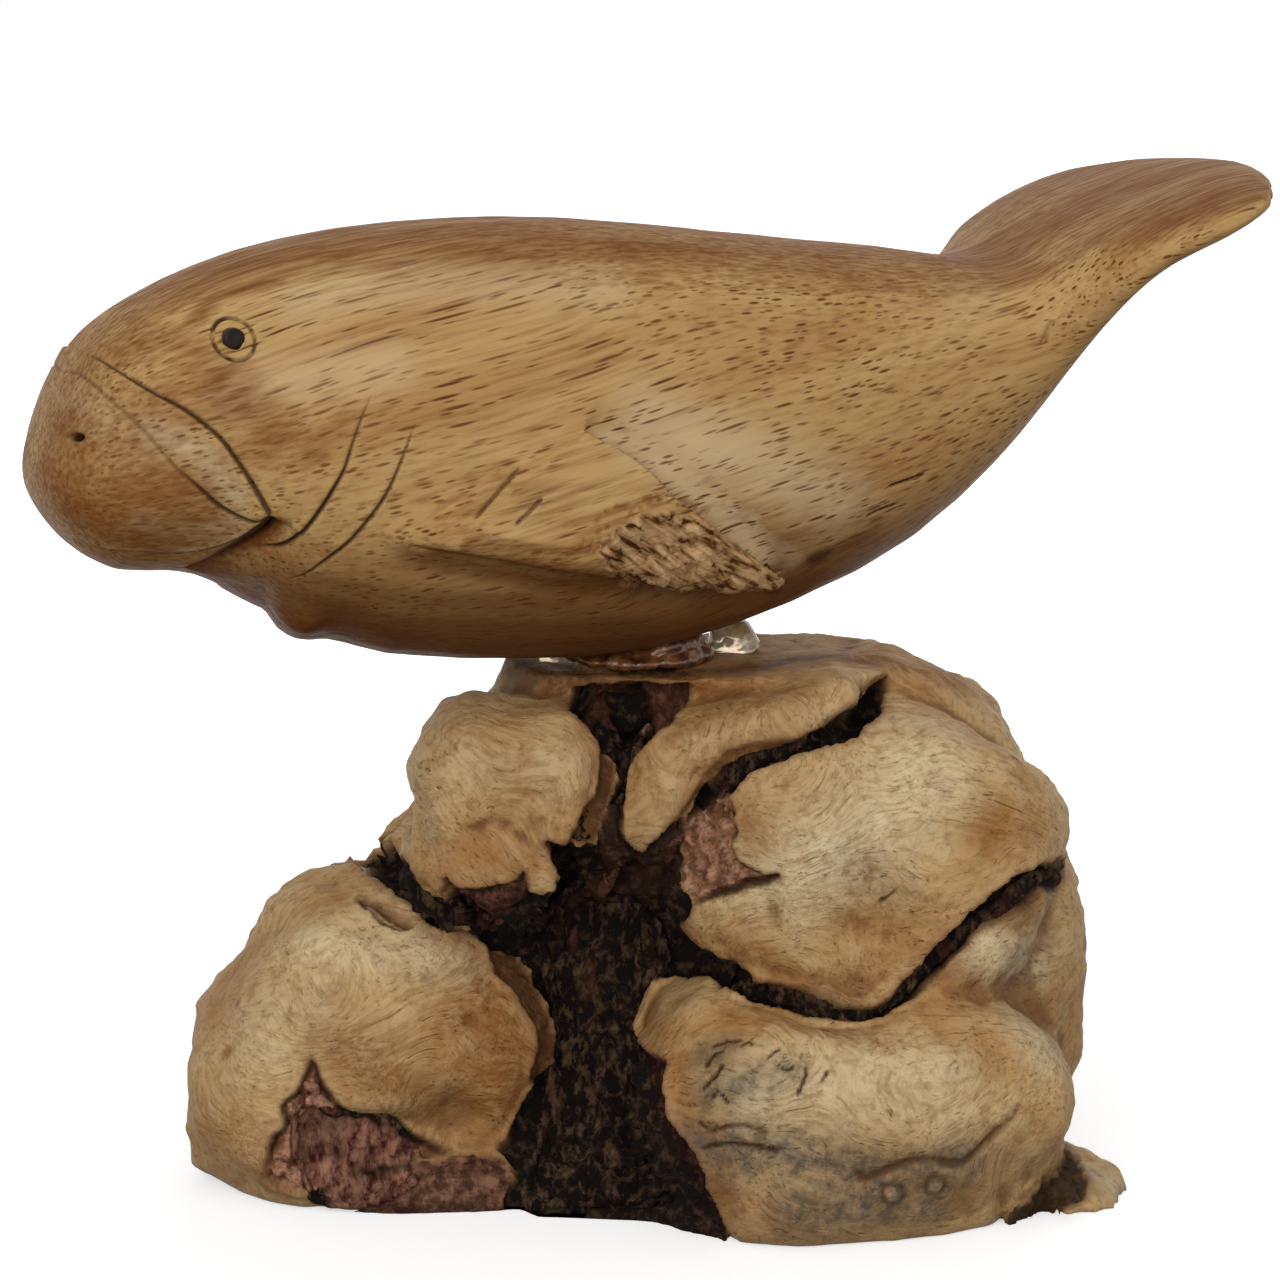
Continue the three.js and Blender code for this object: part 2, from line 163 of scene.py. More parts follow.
def readPoints(piece):
    return readVertices(piece, "co") / mm


def readNormals(piece):
    return readVertices(piece, "normal")


def writePoints(piece, points):
    piece.data.vertices.foreach_set("co", (points * mm).ravel())
    piece.data.update()


def writeMask(piece, name, values):
    # a painted mask, one number for each vertex, that a material reads by name
    mask = piece.data.attributes.new(name, "FLOAT", "POINT")
    mask.data.foreach_set("value", np.clip(values, 0, 1).astype(float))


def skinOf(mesh):
    corners = [v.co / mm for v in mesh.vertices]
    return BVHTree.FromPolygons(corners, [tuple(f.vertices) for f in mesh.polygons])


def smoothSkin(piece, passes):
    shape = bmesh.new()
    shape.from_mesh(piece.data)
    for _ in range(passes):
        bmesh.ops.smooth_vert(shape, verts=shape.verts, factor=0.5,
                              use_axis_x=True, use_axis_y=True, use_axis_z=True)
    shape.to_mesh(piece.data)
    shape.free()
    piece.data.shade_smooth()


def mergedShape(nodeName, swell=0.0):
    # a node's mesh is loose triangles, so its doubled corners are merged first
    shape = bmesh.new()
    shape.from_mesh(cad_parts[nodeName].data)
    bmesh.ops.remove_doubles(shape, verts=shape.verts, dist=0.005 * mm)
    shape.normal_update()
    for v in shape.verts:
        v.co += v.normal * swell * mm
    return shape


def evenCopy(nodeName, pieceName, voxel, smoothing, plugs=(), fillers=None):
    # a copy of a node with an even skin to sculpt
    shape = mergedShape(nodeName)
    for centre, axis, radius in plugs:
        # a socket is closed flush, and cut again finer on the sculpted skin
        inside = [v for v in shape.verts if (v.co / mm - centre).cross(axis).length < radius
                  and abs((v.co / mm - centre).dot(axis)) < 4 * radius]
        bmesh.ops.delete(shape, geom=inside, context="VERTS")
        rim = [e for e in shape.edges if e.is_boundary]
        bmesh.ops.holes_fill(shape, edges=rim)
    mesh = bpy.data.meshes.new(pieceName)
    for name, swell in (fillers or {}).items():
        # what fills a hollow grows over the fitting gap, so that the new skin runs over it
        filler = mergedShape(name, swell)
        filler.to_mesh(mesh)
        filler.free()
        shape.from_mesh(mesh)
    shape.to_mesh(mesh)
    shape.free()
    piece = newObject(pieceName, mesh)
    remesh = piece.modifiers.new("evenSkin", "REMESH")
    remesh.mode = "VOXEL"
    remesh.voxel_size = voxel * mm
    finished = piece.evaluated_get(bpy.context.evaluated_depsgraph_get())
    piece.data = bpy.data.meshes.new_from_object(finished)
    piece.modifiers.clear()
    smoothSkin(piece, smoothing)
    return piece


def spread(piece, values, passes):
    # a number of each vertex, averaged with its neighbours
    ends = np.empty(len(piece.data.edges) * 2, int)
    piece.data.edges.foreach_get("vertices", ends)
    a, b = ends[0::2], ends[1::2]
    size = len(values)
    count = 1 + np.bincount(a, minlength=size) + np.bincount(b, minlength=size)
    for _ in range(passes):
        values = (values + np.bincount(a, values[b], size) + np.bincount(b, values[a], size)) / count
    return values


def calmNormals(piece, passes):
    normals = np.stack([spread(piece, axis, passes) for axis in readNormals(piece).T], axis=1)
    return normals / np.maximum(np.linalg.norm(normals, axis=1), 1e-6)[:, None]


def refineNear(piece, near):
    # cut the edges whose both ends are in the mask, so that a carved line has skin to bend
    shape = bmesh.new()
    shape.from_mesh(piece.data)
    edges = [e for e in shape.edges if near[e.verts[0].index] and near[e.verts[1].index]]
    bmesh.ops.subdivide_edges(shape, edges=edges, cuts=1, use_grid_fill=True)
    shape.to_mesh(piece.data)
    shape.free()
    piece.data.shade_smooth()


def lumps(points, size, seed, octaves=2):
    # soft noise between about -1 and 1, with lumps of this size in mm
    scaled = points / size + seed
    return np.array([noise.fractal(Vector(p), 1.0, 2.0, octaves) for p in scaled])


def unevenness(points, table):
    # lumps on lumps: size, height, seed and octaves of each
    return sum(height * lumps(points, size, *seed) for size, height, *seed in table)


def nearLine(points, normals, line, reach=12.0):
    # distance to a line on the surface, share of the way along it, and the side, + to the right of its run
    best = np.full(len(points), 1e9)
    along = np.zeros(len(points))
    side = np.zeros(len(points))
    steps = max(len(line) - 1, 1)
    close = np.where(np.all((points > line.min(0) - reach) & (points < line.max(0) + reach), axis=1))[0]
    p, n = points[close], normals[close]
    for i in range(steps):
        run = line[min(i + 1, len(line) - 1)] - line[i]
        t = np.clip((p - line[i]) @ run / max(run @ run, 1e-9), 0, 1)
        off = p - line[i] - t[:, None] * run
        distance = np.linalg.norm(off, axis=1)
        better = distance < best[close]
        hit = close[better]
        best[hit] = distance[better]
        along[hit] = (i + t[better]) / steps
        side[hit] = np.sign(np.einsum("ij,ij->i", off[better], np.cross(run, n[better])))
    return best, along, side


def softStep(values, low, high):
    t = np.clip((values - low) / (high - low), 0, 1)
    return t * t * (3 - 2 * t)


def carve(points, normals, line, size):
    # push along the normal for one carved line, and how dark its bottom is painted: dirt, and painted shade
    # in deep cuts
    distance, share, side = nearLine(points, normals, line)
    first, last = size.get("fade", (0.15, 0.15))
    fade = np.minimum(np.clip(share / max(first, 1e-6), 0, 1), np.clip((1 - share) / max(last, 1e-6), 0, 1))
    fade = np.sqrt(fade)
    width = size.get("width", 0.5)
    groove = np.clip(1 - distance / (width * (0.45 + 0.55 * fade)), 0, 1) ** size.get("wall", 1.0) * fade
    push = -size.get("depth", 0.0) * groove
    for which, sign in (("right", 1), ("left", -1)):
        height, reach = size.get(which, (0.0, 1.0))
        push += height * fade * np.where(side == sign, np.clip(1 - distance / reach, 0, 1) ** 2, 0)
    return push, size.get("ink", 0.85) * softStep(groove, 0.1, 0.7)


def insidePixels(pixels, outline, reach=70.0):
    # how far inside a drawn outline, in pixels, below 0 outside
    edge = np.array(outline + outline[:1], float)
    result = np.full(len(pixels), -reach)
    close = np.where(np.all((pixels > edge.min(0) - reach) & (pixels < edge.max(0) + reach), axis=1))[0]
    p = pixels[close]
    inside = np.zeros(len(p), bool)
    best = np.full(len(p), 1e9)
    for a, b in zip(edge[:-1], edge[1:]):
        run = b - a
        t = np.clip((p - a) @ run / max(run @ run, 1e-9), 0, 1)
        off = p - a - t[:, None] * run
        best = np.minimum(best, np.hypot(off[:, 0], off[:, 1]))
        crosses = (a[1] > p[:, 1]) != (b[1] > p[:, 1])
        rise = b[1] - a[1] if b[1] != a[1] else 1e-9
        inside ^= crosses & (p[:, 0] < a[0] + (p[:, 1] - a[1]) / rise * run[0])
    result[close] = np.where(inside, best, -best)
    return result


def strokeMask(points, skin, strokes):
    # strokes of a brush along pixels: how far each reaches in mm, and how strong it is
    mask = np.zeros(len(points))
    for pixels, reach, strength in strokes:
        line = traced(skin, pixels)
        if len(line):
            distance = nearLine(points, points, line, reach)[0]
            mask = np.maximum(mask, strength * softStep(-distance, -reach, 0))
    return mask


def behindFirst(points, skin, starts):
    # how far behind the first face on the straight way from its start, in mm
    depth = np.zeros(len(points))
    for i, (point, start) in enumerate(zip(points, np.broadcast_to(starts, points.shape))):
        ray = Vector(point - start)
        hit = skin.ray_cast(Vector(start), ray.normalized())[3]
        if hit is not None:
            depth[i] = ray.length - hit
    return depth


def triangleCount(piece):
    return sum(len(f.vertices) - 2 for f in piece.data.polygons)


def finishPiece(piece, material, slot, *nodes):
    piece.data.materials.clear()
    piece.data.materials.append(material)
    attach(piece, "root")
    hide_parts(*nodes)


# the carving: sizes in mm, places as pixels of the photograph
manatee = {
    "voxel": 0.76,
    "smoothing": 3,
    "turn": 21.0,                # degrees on the dowel
    "refine": (1.5, 0.75),       # how far from a cut line the skin is refined, twice
    "handLumps": (0.12, 11.0),   # unevenness of the hand carving: height and size
    "grainRise": 14.0,           # degrees that the grain climbs towards the tail
    "tipRise": -32.0,            # and the layers on the flipper tips, which fall
    "eyeRing": {"radius": 2.3, "width": 0.3, "depth": 0.35, "darkness": 0.68, "patches": 0.8},
    "eyeHole": {"radius": 1.32, "depth": 0.7, "wall": 0.35, "socket": 1.8},
    # right and left are steps beside a line: height at the line, and how far they reach
    # ink: how dark the bottom of a line is painted, dirt and painted shade
    "lines": {
        "muzzleCrease": {"width": 0.45, "depth": 0.5, "right": (0.7, 6.0), "fade": (0.5, 0.02), "pixels": [
            (84, 357), (94, 358), (109, 366), (148, 390), (188, 412), (219, 437), (239, 463), (255, 488),
            (271, 516)]},
        # painted shadow under the chin's edge
        "chinEdge": {
            "width": 1.3, "depth": 1.3, "right": (0.7, 6.0), "left": (-2.8, 6.0), "fade": (0.02, 0.3),
            "ink": 0.95, "pixels": [(272, 517), (264, 528), (250, 540), (232, 551), (210, 560),
            (186, 567)]},
        "snoutCrease": {"width": 0.36, "depth": 0.22, "ink": 0.4, "pixels": [
            (62, 371), (84, 377), (109, 399), (135, 422), (158, 447), (178, 470), (199, 488)]},
        "cheekCut": {"width": 0.45, "depth": 0.55, "fade": (0.4, 0.1), "pixels": [
            (180, 472), (199, 488), (219, 506), (244, 518), (266, 521)]},
        "mouth": {
            "width": 0.42, "depth": 0.45, "ink": 0.6, "left": (0.3, 1.2), "right": (-0.6, 3.0),
            "pixels": [(73, 540), (96, 547), (127, 551), (163, 553), (193, 551), (224, 543), (244, 534),
            (266, 521)]},
        "neckFold": {
            "width": 0.46, "depth": 0.55, "right": (0.25, 2.5), "fade": (0.6, 0.1), "ink": 0.95,
            "pixels": [(373, 394), (364, 412), (352, 445), (344, 470), (334, 488), (321, 509), (303, 532),
            (283, 547), (257, 554)]},
        "neckFoldTwo": {"width": 0.4, "depth": 0.5, "right": (0.2, 2.5), "fade": (0.35, 0.35), "pixels": [
            (415, 424), (403, 457), (387, 493), (369, 519), (349, 542), (326, 560), (306, 574),
            (290, 579)]},
        "shoulderCut": {"width": 0.42, "depth": 0.4, "ink": 0.65, "left": (0.15, 1.5), "pixels": [
            (520, 467), (498, 492), (474, 520)]},
        "shoulderCutTwo": {"width": 0.4, "depth": 0.35, "ink": 0.65, "left": (0.15, 1.5), "pixels": [
            (543, 498), (530, 512), (515, 526)]},
        "flipperRidge": {"width": 1.3, "depth": -0.5, "ink": 0.0, "fade": (0.2, 0.2), "pixels": [
            (473, 523), (500, 535), (530, 541), (560, 545), (596, 550)]},
        # painted shadow in the undercut below the flipper
        "flipperUndercut": {
            "width": 0.95, "depth": 1.2, "ink": 1.0, "right": (-2.6, 6.0), "left": (-0.9, 3.4),
            "fade": (0.3, 0.03), "pixels": [(408, 547), (464, 561), (534, 575), (618, 587), (689, 597),
            (745, 596), (776, 588)]},
        "flipperEdge": {
            "width": 0.35, "depth": 0.2, "ink": 0.25, "left": (-2.9, 7.0), "right": (1.2, 6.0),
            "fade": (0.45, 0.02), "pixels": [(584, 431), (600, 441), (621, 453), (649, 475), (672, 498),
            (705, 523), (742, 551), (777, 579)]},
        "tailNick": {"width": 0.6, "depth": 0.4, "ink": 0.2, "pixels": [
            (1053, 320), (1048, 331), (1042, 344)]},
        "bellyCrack": {"width": 0.3, "depth": 0.4, "ink": 1.0, "pixels": [
            (866, 517), (880, 510), (897, 504)]},
        "bellyCrackTwo": {"width": 0.3, "depth": 0.4, "ink": 1.0, "pixels": [
            (888, 487), (905, 481), (926, 474)]},
    },
    "oneSided": ["tailNick", "bellyCrack", "bellyCrackTwo"],
    "facet": {"reach": 4.2, "share": 0.8, "strokes": 4.6},   # chisel facet behind the flipper's edge, painted paler: paler cut wood with a painted highlight
    # brush strokes: pixels, reach and strength
    # heartwood strokes, and strokes of painted shade where the skin turns down or lies under an edge
    "heartwoodAndShade": [
        ([(60, 420), (120, 470), (190, 520)], 13.0, 0.62), ([(45, 470), (90, 530), (150, 545)], 9.0, 0.8),
        ([(120, 350), (170, 335), (220, 385), (270, 430)], 7.0, 0.62),
        ([(198, 318), (215, 296), (262, 284)], 3.6, 0.85),
        ([(100, 318), (170, 285), (260, 262), (360, 250)], 3.2, 0.85),
        ([(235, 292), (262, 284), (280, 282)], 1.6, 1.0),
        ([(315, 262), (370, 250), (430, 240), (500, 234)], 1.3, 1.0), ([(210, 275), (300, 256)], 1.4, 0.8),
        ([(330, 240), (450, 228), (640, 236), (800, 250)], 2.0, 0.5),
        # painted shade on the flipper, most along its lower face, which faces down
        ([(470, 545), (560, 550), (590, 545)], 2.0, 0.6), ([(480, 500), (560, 500), (620, 520)], 8.0, 0.3),
        ([(430, 556), (520, 566), (600, 576), (690, 588)], 2.4, 0.8),
        ([(780, 582), (820, 562), (870, 536)], 4.0, 0.6),
        # painted shade down the throat, which faces down
        ([(200, 570), (240, 596), (290, 622), (400, 640)], 7.0, 0.95),
        # painted shadow in the wedge under the chin's edge
        ([(279, 522), (267, 538), (246, 550), (212, 563)], 2.0, 1.3),
        ([(290, 470), (330, 430), (345, 400)], 3.0, 0.35)],
    # back: painted shade where the top faces up, over the heartwood band of the back
    "heartwoodAndShadeShares": {"back": 0.72, "muzzle": 0.5, "arcs": 0.8},
    "muzzleFrom": (52.0, 70.0),  # along the body from the dowel
    # painted shade on the underside: its share, the band of height that it fades over, and how much less at
    # the chin
    "under": {"share": 0.85, "height": (8.0, 34.0), "chin": 0.5, "chinFrom": (45.0, 65.0)},
    # pale wood and painted highlights: strokes of the satin sheen on the flank, cheek, back, muzzle, lower
    # lip and tail
    "paleAndHighlight": [
        ([(650, 425), (720, 455), (790, 480), (840, 505)], 8.0, 0.75),
        ([(235, 388), (300, 374), (390, 366)], 5.5, 0.5),
        ([(300, 300), (380, 285), (470, 280), (600, 285)], 6.0, 0.5),
        ([(150, 430), (200, 455), (232, 492)], 3.2, 0.75), ([(140, 522), (190, 532), (240, 518)], 2.4, 0.5),
        ([(150, 550), (190, 549), (224, 542), (250, 530)], 0.7, 1.0),
        ([(70, 395), (105, 425), (140, 455)], 3.5, 0.35),
        ([(960, 300), (1040, 260), (1110, 230)], 6.0, 0.25)],
    "nostril": {"pixel": (76, 437), "reach": (9.0, 5.5), "depth": 1.3},     # half sizes in pixels
    "chestFold": {"pixel": (300, 622), "radius": 4.5, "height": 1.3},
    # photo column, and how far the underside rises there, so that the fold stands out
    "chestLine": [
        (222, 0), (245, 0.75), (264, 1.3), (277, 0.1), (296, 0), (310, 0.25), (325, 0.75), (345, 0.7),
        (364, 0.45), (386, 0)],
    "chestRows": (568, 596),     # the rise sets in between these rows
    "knot": {"pixel": (820, 556), "radius": 2.2, "darkness": 0.7},
    # natural skin of the log, left on the flipper tips: its layers end between these columns and rows
    "rawTip": {
        "depth": 0.75, "layers": 1.3, "ragged": 4.0, "columns": (690, 735), "rows": (545, 562), "pixels": [
            (594, 553), (604, 536), (617, 523), (640, 513), (665, 510), (690, 514), (712, 528), (745, 550),
            (780, 580), (762, 600), (700, 604), (620, 594)]},
}
bodyTurn = math.radians(manatee["turn"])
bodyAlong = np.array([math.cos(bodyTurn), math.sin(bodyTurn), 0])
bodyAcross = np.array([-math.sin(bodyTurn), math.cos(bodyTurn), 0])


def oiledSuar():
    # suar, carved, sanded and oiled: golden wood with short brown pores along the grain, satin
    made, tree, space = newMaterial("oiledSuar")
    painted = {name: addNode(tree, "Attribute", attribute_name=name).outputs["Fac"]
               for name in ("paleAndHighlight", "heartwoodAndShade", "under", "cut", "raw", "layer")}
    turned = addNode(tree, "Mapping", {"Vector": space.outputs[0], "Rotation": (0, 0, -bodyTurn)})
    grain, tipGrain = [
        addNode(tree, "Mapping", {"Vector": turned.outputs[0], "Rotation": (0, math.radians(turn), 0)})
        for turn in (manatee["grainRise"], manatee["tipRise"])]
    drift = addNode(tree, "TexNoise", {"Vector": grain.outputs[0], "Scale": 1 / 40, "Detail": 1.0})
    waved = addNode(tree, "VectorMath", {
        0: drift.outputs["Color"], 1: (0, 4, 4), 2: grain.outputs[0]}, operation="MULTIPLY_ADD")
    # patterns: the grain that they follow, and their size in mm along and across it
    patterns = {}
    for name, kind, lies, size, shift, detail in (
            ("bands", "TexNoise", waved, (90, 6, 6), (0, 0, 0), 3.0),       # heart and sap
            ("fibre", "TexNoise", waved, (14, 0.6, 0.6), (0, 0, 0), 3.0),
            # open pores: vessels 0.35 mm thick, cut lengthwise into dashes of 2 to 9 mm, in clumps
            ("longPores", "TexVoronoi", waved, (15, 0.82, 0.82), (0, 0, 0), 0.0),
            ("shortPores", "TexVoronoi", waved, (5.5, 0.62, 0.62), (3.1, 1.7, 2.3), 0.0),
            ("clumps", "TexNoise", waved, (30, 6, 6), (0, 0, 0), 2.0),
            ("raw", "TexNoise", tipGrain, (3.6, 0.9, 0.75), (0, 0, 0), 5.0)):
        scaled = addNode(tree, "Mapping", {
            "Vector": lies.outputs[0], "Location": shift, "Scale": tuple(1 / side for side in size)})
        patterns[name] = addNode(tree, kind, {
            "Vector": scaled.outputs[0], "Scale": 1.0, "Detail": detail}).outputs[0]
    # the edge of the heartwood and of the painted shade is broken up by fibre and bands
    fibreNoise = addNode(tree, "Math", {
        0: patterns["fibre"], 1: 1.1, 2: -0.95}, operation="MULTIPLY_ADD")
    heartNoise = addNode(tree, "Math", {
        0: patterns["bands"], 1: 0.8, 2: fibreNoise.outputs[0]}, operation="MULTIPLY_ADD")
    heartAndShade = addNode(tree, "Math", {
        0: painted["heartwoodAndShade"], 1: heartNoise.outputs[0]}, operation="ADD").outputs[0]
    layered = addNode(tree, "Math", {
        0: painted["layer"], 1: 0.35, 2: patterns["raw"]}, operation="MULTIPLY_ADD").outputs[0]
    # masks: from where to where in their pattern, and their value at either end
    masks = {}
    for name, source, start, end, first, last in (
            ("bands", patterns["bands"], 0.38, 0.66, 0.0, 1.0),
            ("fibre", patterns["fibre"], 0.42, 0.72, 0.0, 0.62),
            ("longPores", patterns["longPores"], 0.15, 0.29, 1.0, 0.0),
            ("shortPores", patterns["shortPores"], 0.13, 0.27, 0.85, 0.0),
            ("clumps", patterns["clumps"], 0.34, 0.58, 0.5, 1.0),
            ("heartAndShade", heartAndShade, 0.05, 0.95, 0.0, 0.9),
            ("raw", layered, 0.56, 0.84, 0.0, 1.0),
            ("crevice", layered, 0.5, 0.6, 0.9, 0.0),
            ("gloss", patterns["fibre"], 0.3, 0.7, 0.42, 0.58)):
        masks[name] = addNode(tree, "MapRange", {
            "Value": source, "From Min": start, "From Max": end, "To Min": first, "To Max": last}).outputs[0]
    eitherPore = addNode(tree, "Math", {
        0: masks["longPores"], 1: masks["shortPores"]}, operation="MAXIMUM")
    pores = addNode(tree, "Math", {0: eitherPore.outputs[0], 1: masks["clumps"]}, operation="MULTIPLY")
    poreShare = addNode(tree, "MapRange", {"Value": masks["heartAndShade"], "To Min": 1.0, "To Max": 0.4})
    poreInk = addNode(tree, "Math", {0: pores.outputs[0], 1: poreShare.outputs[0]}, operation="MULTIPLY")
    # layered skin of the log on the flipper tips, buff over dark brown
    rawWood = addNode(tree, "Mix", {
        0: masks["raw"], 6: linear("#6f4824"), 7: linear("#c8a273")}, data_type="RGBA")
    rawColour = addNode(tree, "Mix", {
        0: masks["crevice"], 6: rawWood.outputs[2], 7: linear("#2f1c0f")}, data_type="RGBA")
    colour = addNode(tree, "Mix", {
        0: masks["bands"], 6: linear("#c09d66"), 7: linear("#b08753")}, data_type="RGBA")
    for mask, over in (
            (masks["fibre"], linear("#956c3d")),
            # paler cut wood on the facet, and painted highlights of the sheen
            (painted["paleAndHighlight"], linear("#cfb48b")),
            # heartwood, and painted shade on the back, throat, chin and flipper
            (masks["heartAndShade"], linear("#77441b")),
            (poreInk.outputs[0], linear("#643a1a")),
            (painted["under"], linear("#5a3010")),     # painted shade on the underside, which faces down
            (painted["cut"], linear("#2e1b0d")),       # oil and dirt darken the cut lines, with painted shade in the undercuts, eye ring and nostril
            (painted["raw"], rawColour.outputs[2])):
        colour = addNode(tree, "Mix", {0: mask, 6: colour.outputs[2], 7: over}, data_type="RGBA")
    rough = addNode(tree, "Mix", {0: painted["raw"], 2: masks["gloss"], 3: 0.85}, data_type="FLOAT")
    height = addNode(tree, "Math", {
        0: pores.outputs[0], 1: -1.0, 2: patterns["fibre"]}, operation="MULTIPLY_ADD")
    bump = addNode(tree, "Bump", {
        "Strength": 0.4, "Distance": 0.15 * mm, "Height": height.outputs[0]})
    return finishMaterial(made, tree, {
        "Base Color": colour.outputs[2], "Roughness": rough.outputs[0], "Normal": bump.outputs[0],
        "IOR": 1.5, "Specular IOR Level": 0.05})


def foldToNearSide(points):
    # both flanks are carved alike, so the far one is read as its mirror image on the near side
    away = points @ bodyAcross
    return points - np.outer(away + np.abs(away), bodyAcross), away


def eyePlace(nodeName):
    # centre of an eye on the flank, and the way out of the head
    low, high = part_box(nodeName)
    centre = np.array((low + high) / 2) / mm
    out = bodyAcross * np.sign(centre @ bodyAcross)
    return centre, out


def eyeReach(folded):
    # distance from the axis of the eye
    centre = eyePlace("left_eye")[0]
    return np.hypot(folded @ bodyAlong - centre @ bodyAlong, folded[:, 2] - centre[2])


def refineCuts(piece, skin, lines):
    # finer skin near every cut
    nostril = onSurface(skin, [manatee["nostril"]["pixel"]])[0]
    for reach in manatee["refine"]:
        points = readPoints(piece)
        folded = foldToNearSide(points)[0]
        near = np.abs(eyeReach(folded) - manatee["eyeRing"]["radius"]) < reach
        near |= np.linalg.norm(folded - nostril, axis=1) < 1 + reach
        for name, line in lines.items():
            where = points if name in manatee["oneSided"] else folded
            near |= nearLine(where, where, line)[0] < reach
        refineNear(piece, near)


def eyeCut(points, folded):
    # a ring from a hollow punch, and the hole for the inlay: push, and how dark the ring is painted, dirt
    # and painted shade
    ring, hole = manatee["eyeRing"], manatee["eyeHole"]
    reach = eyeReach(folded)
    groove = np.clip(1 - np.abs(reach - ring["radius"]) / ring["width"], 0, 1)
    bored = softStep(-reach, -hole["radius"], -hole["radius"] + hole["wall"])
    darkness = np.clip(ring["darkness"] + ring["patches"] * lumps(points, 1.8, 6.0), 0, 0.95)
    return -ring["depth"] * groove - hole["depth"] * bored, softStep(groove, 0, 0.6) * darkness


def nostrilCut(folded, skin):
    nostril = manatee["nostril"]
    centre = onSurface(skin, [nostril["pixel"]])[0]
    flat = (toPixels(folded) - nostril["pixel"]) / nostril["reach"]
    dent = np.clip(1 - np.linalg.norm(flat, axis=1), 0, 1) * (np.linalg.norm(folded - centre, axis=1) < 4)
    return -nostril["depth"] * softStep(dent, 0, 0.7), softStep(dent, 0.05, 0.4)


def knotDirt(points, skin):
    knot = manatee["knot"]
    centre = onSurface(skin, [knot["pixel"]])[0]
    spot = np.clip(1 - np.linalg.norm((points - centre) * [0.6, 1, 1.4], axis=1) / knot["radius"], 0, 1)
    return knot["darkness"] * softStep(spot, 0, 0.6)


def chestFold(points, skin):
    chest = manatee["chestFold"]
    centre = onSurface(skin, [chest["pixel"]])[0]
    return chest["height"] * softStep(-np.linalg.norm(points - centre, axis=1), -chest["radius"], 0)


def chestRise(points, normals):
    # the underside beside the fold
    column, row = toPixels(points).T
    rise = np.interp(column, *np.array(manatee["chestLine"], float).T)
    return rise * softStep(-normals[:, 2], 0.2, 0.8) * softStep(row, *manatee["chestRows"])


def rawTips(points, folded, facing):
    # natural skin on the flipper tips: where it is, its layers, the arcs of its upper edge, and the push
    tip = manatee["rawTip"]
    pixels = toPixels(folded)
    inside = insidePixels(pixels, tip["pixels"]) + tip["ragged"] * lumps(points, 3.0, 4.0)
    raw = softStep(inside, -1, 5) * softStep(facing @ -viewIn, -0.1, 0.3)
    upper = (1 - softStep(pixels[:, 0], *tip["columns"])) * (1 - softStep(pixels[:, 1], *tip["rows"]))
    waves = 0.5 + 0.5 * np.sin(inside / tip["layers"])
    layer = 0.5 + (waves - 0.5) * upper * softStep(-inside, -16, -7)
    arcs = softStep(waves, 0.6, 0.95) * upper * softStep(inside, -24, -14) * softStep(-inside, -2, 3)
    # fissures down the tip, four times as long as wide
    along, across, up = folded @ bodyAlong, folded @ bodyAcross, folded[:, 2]
    fissureSpace = np.stack([along * 0.85 - up * 0.53, 4 * (along * 0.53 + up * 0.85), across], axis=1)
    fissures = lumps(fissureSpace, 4.0, 5.0, 3)
    push = raw * tip["depth"] * (1.3 * fissures + 0.4 * (layer - 0.5)) - 0.15 * arcs
    return raw, layer, arcs, push


def heartwoodAndShadeMask(points, normals, folded, skin, arcs):
    # heartwood and painted shade: darker wherever the back faces up, heartwood round the muzzle, and strokes
    # of both
    share = manatee["heartwoodAndShadeShares"]
    back = share["back"] * softStep(normals[:, 2], 0.62, 0.95)
    muzzle = share["muzzle"] * softStep(-points @ bodyAlong, *manatee["muzzleFrom"])
    strokes = strokeMask(folded, skin, manatee["heartwoodAndShade"])
    return np.maximum.reduce([back, muzzle, strokes, share["arcs"] * arcs])


def underMask(points, normals):
    # painted shade where the belly faces down, up to this height over its lowest point, and less of it at
    # the chin
    under = manatee["under"]
    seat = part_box("manatee_body")[0].z / mm
    belly = softStep(-normals[:, 2], 0.05, 0.75) * (1 - softStep(points[:, 2] - seat, *under["height"]))
    return under["share"] * belly * (1 - under["chin"] * softStep(-points @ bodyAlong, *under["chinFrom"]))


def facetMask(folded, facing, edge):
    # paler facet behind the flipper's edge, with a painted highlight, and one scallop for each stroke of the
    # chisel
    facet = manatee["facet"]
    distance, share, side = nearLine(folded, facing, edge)
    scallops = 0.16 * ((share * facet["strokes"]) % 1)
    reach = facet["reach"] * (0.3 + 0.7 * softStep(share, 0, 0.55) + scallops)
    return facet["share"] * (side < 0) * softStep(reach - distance, 0, 0.6) * softStep(share, 0.02, 0.2)


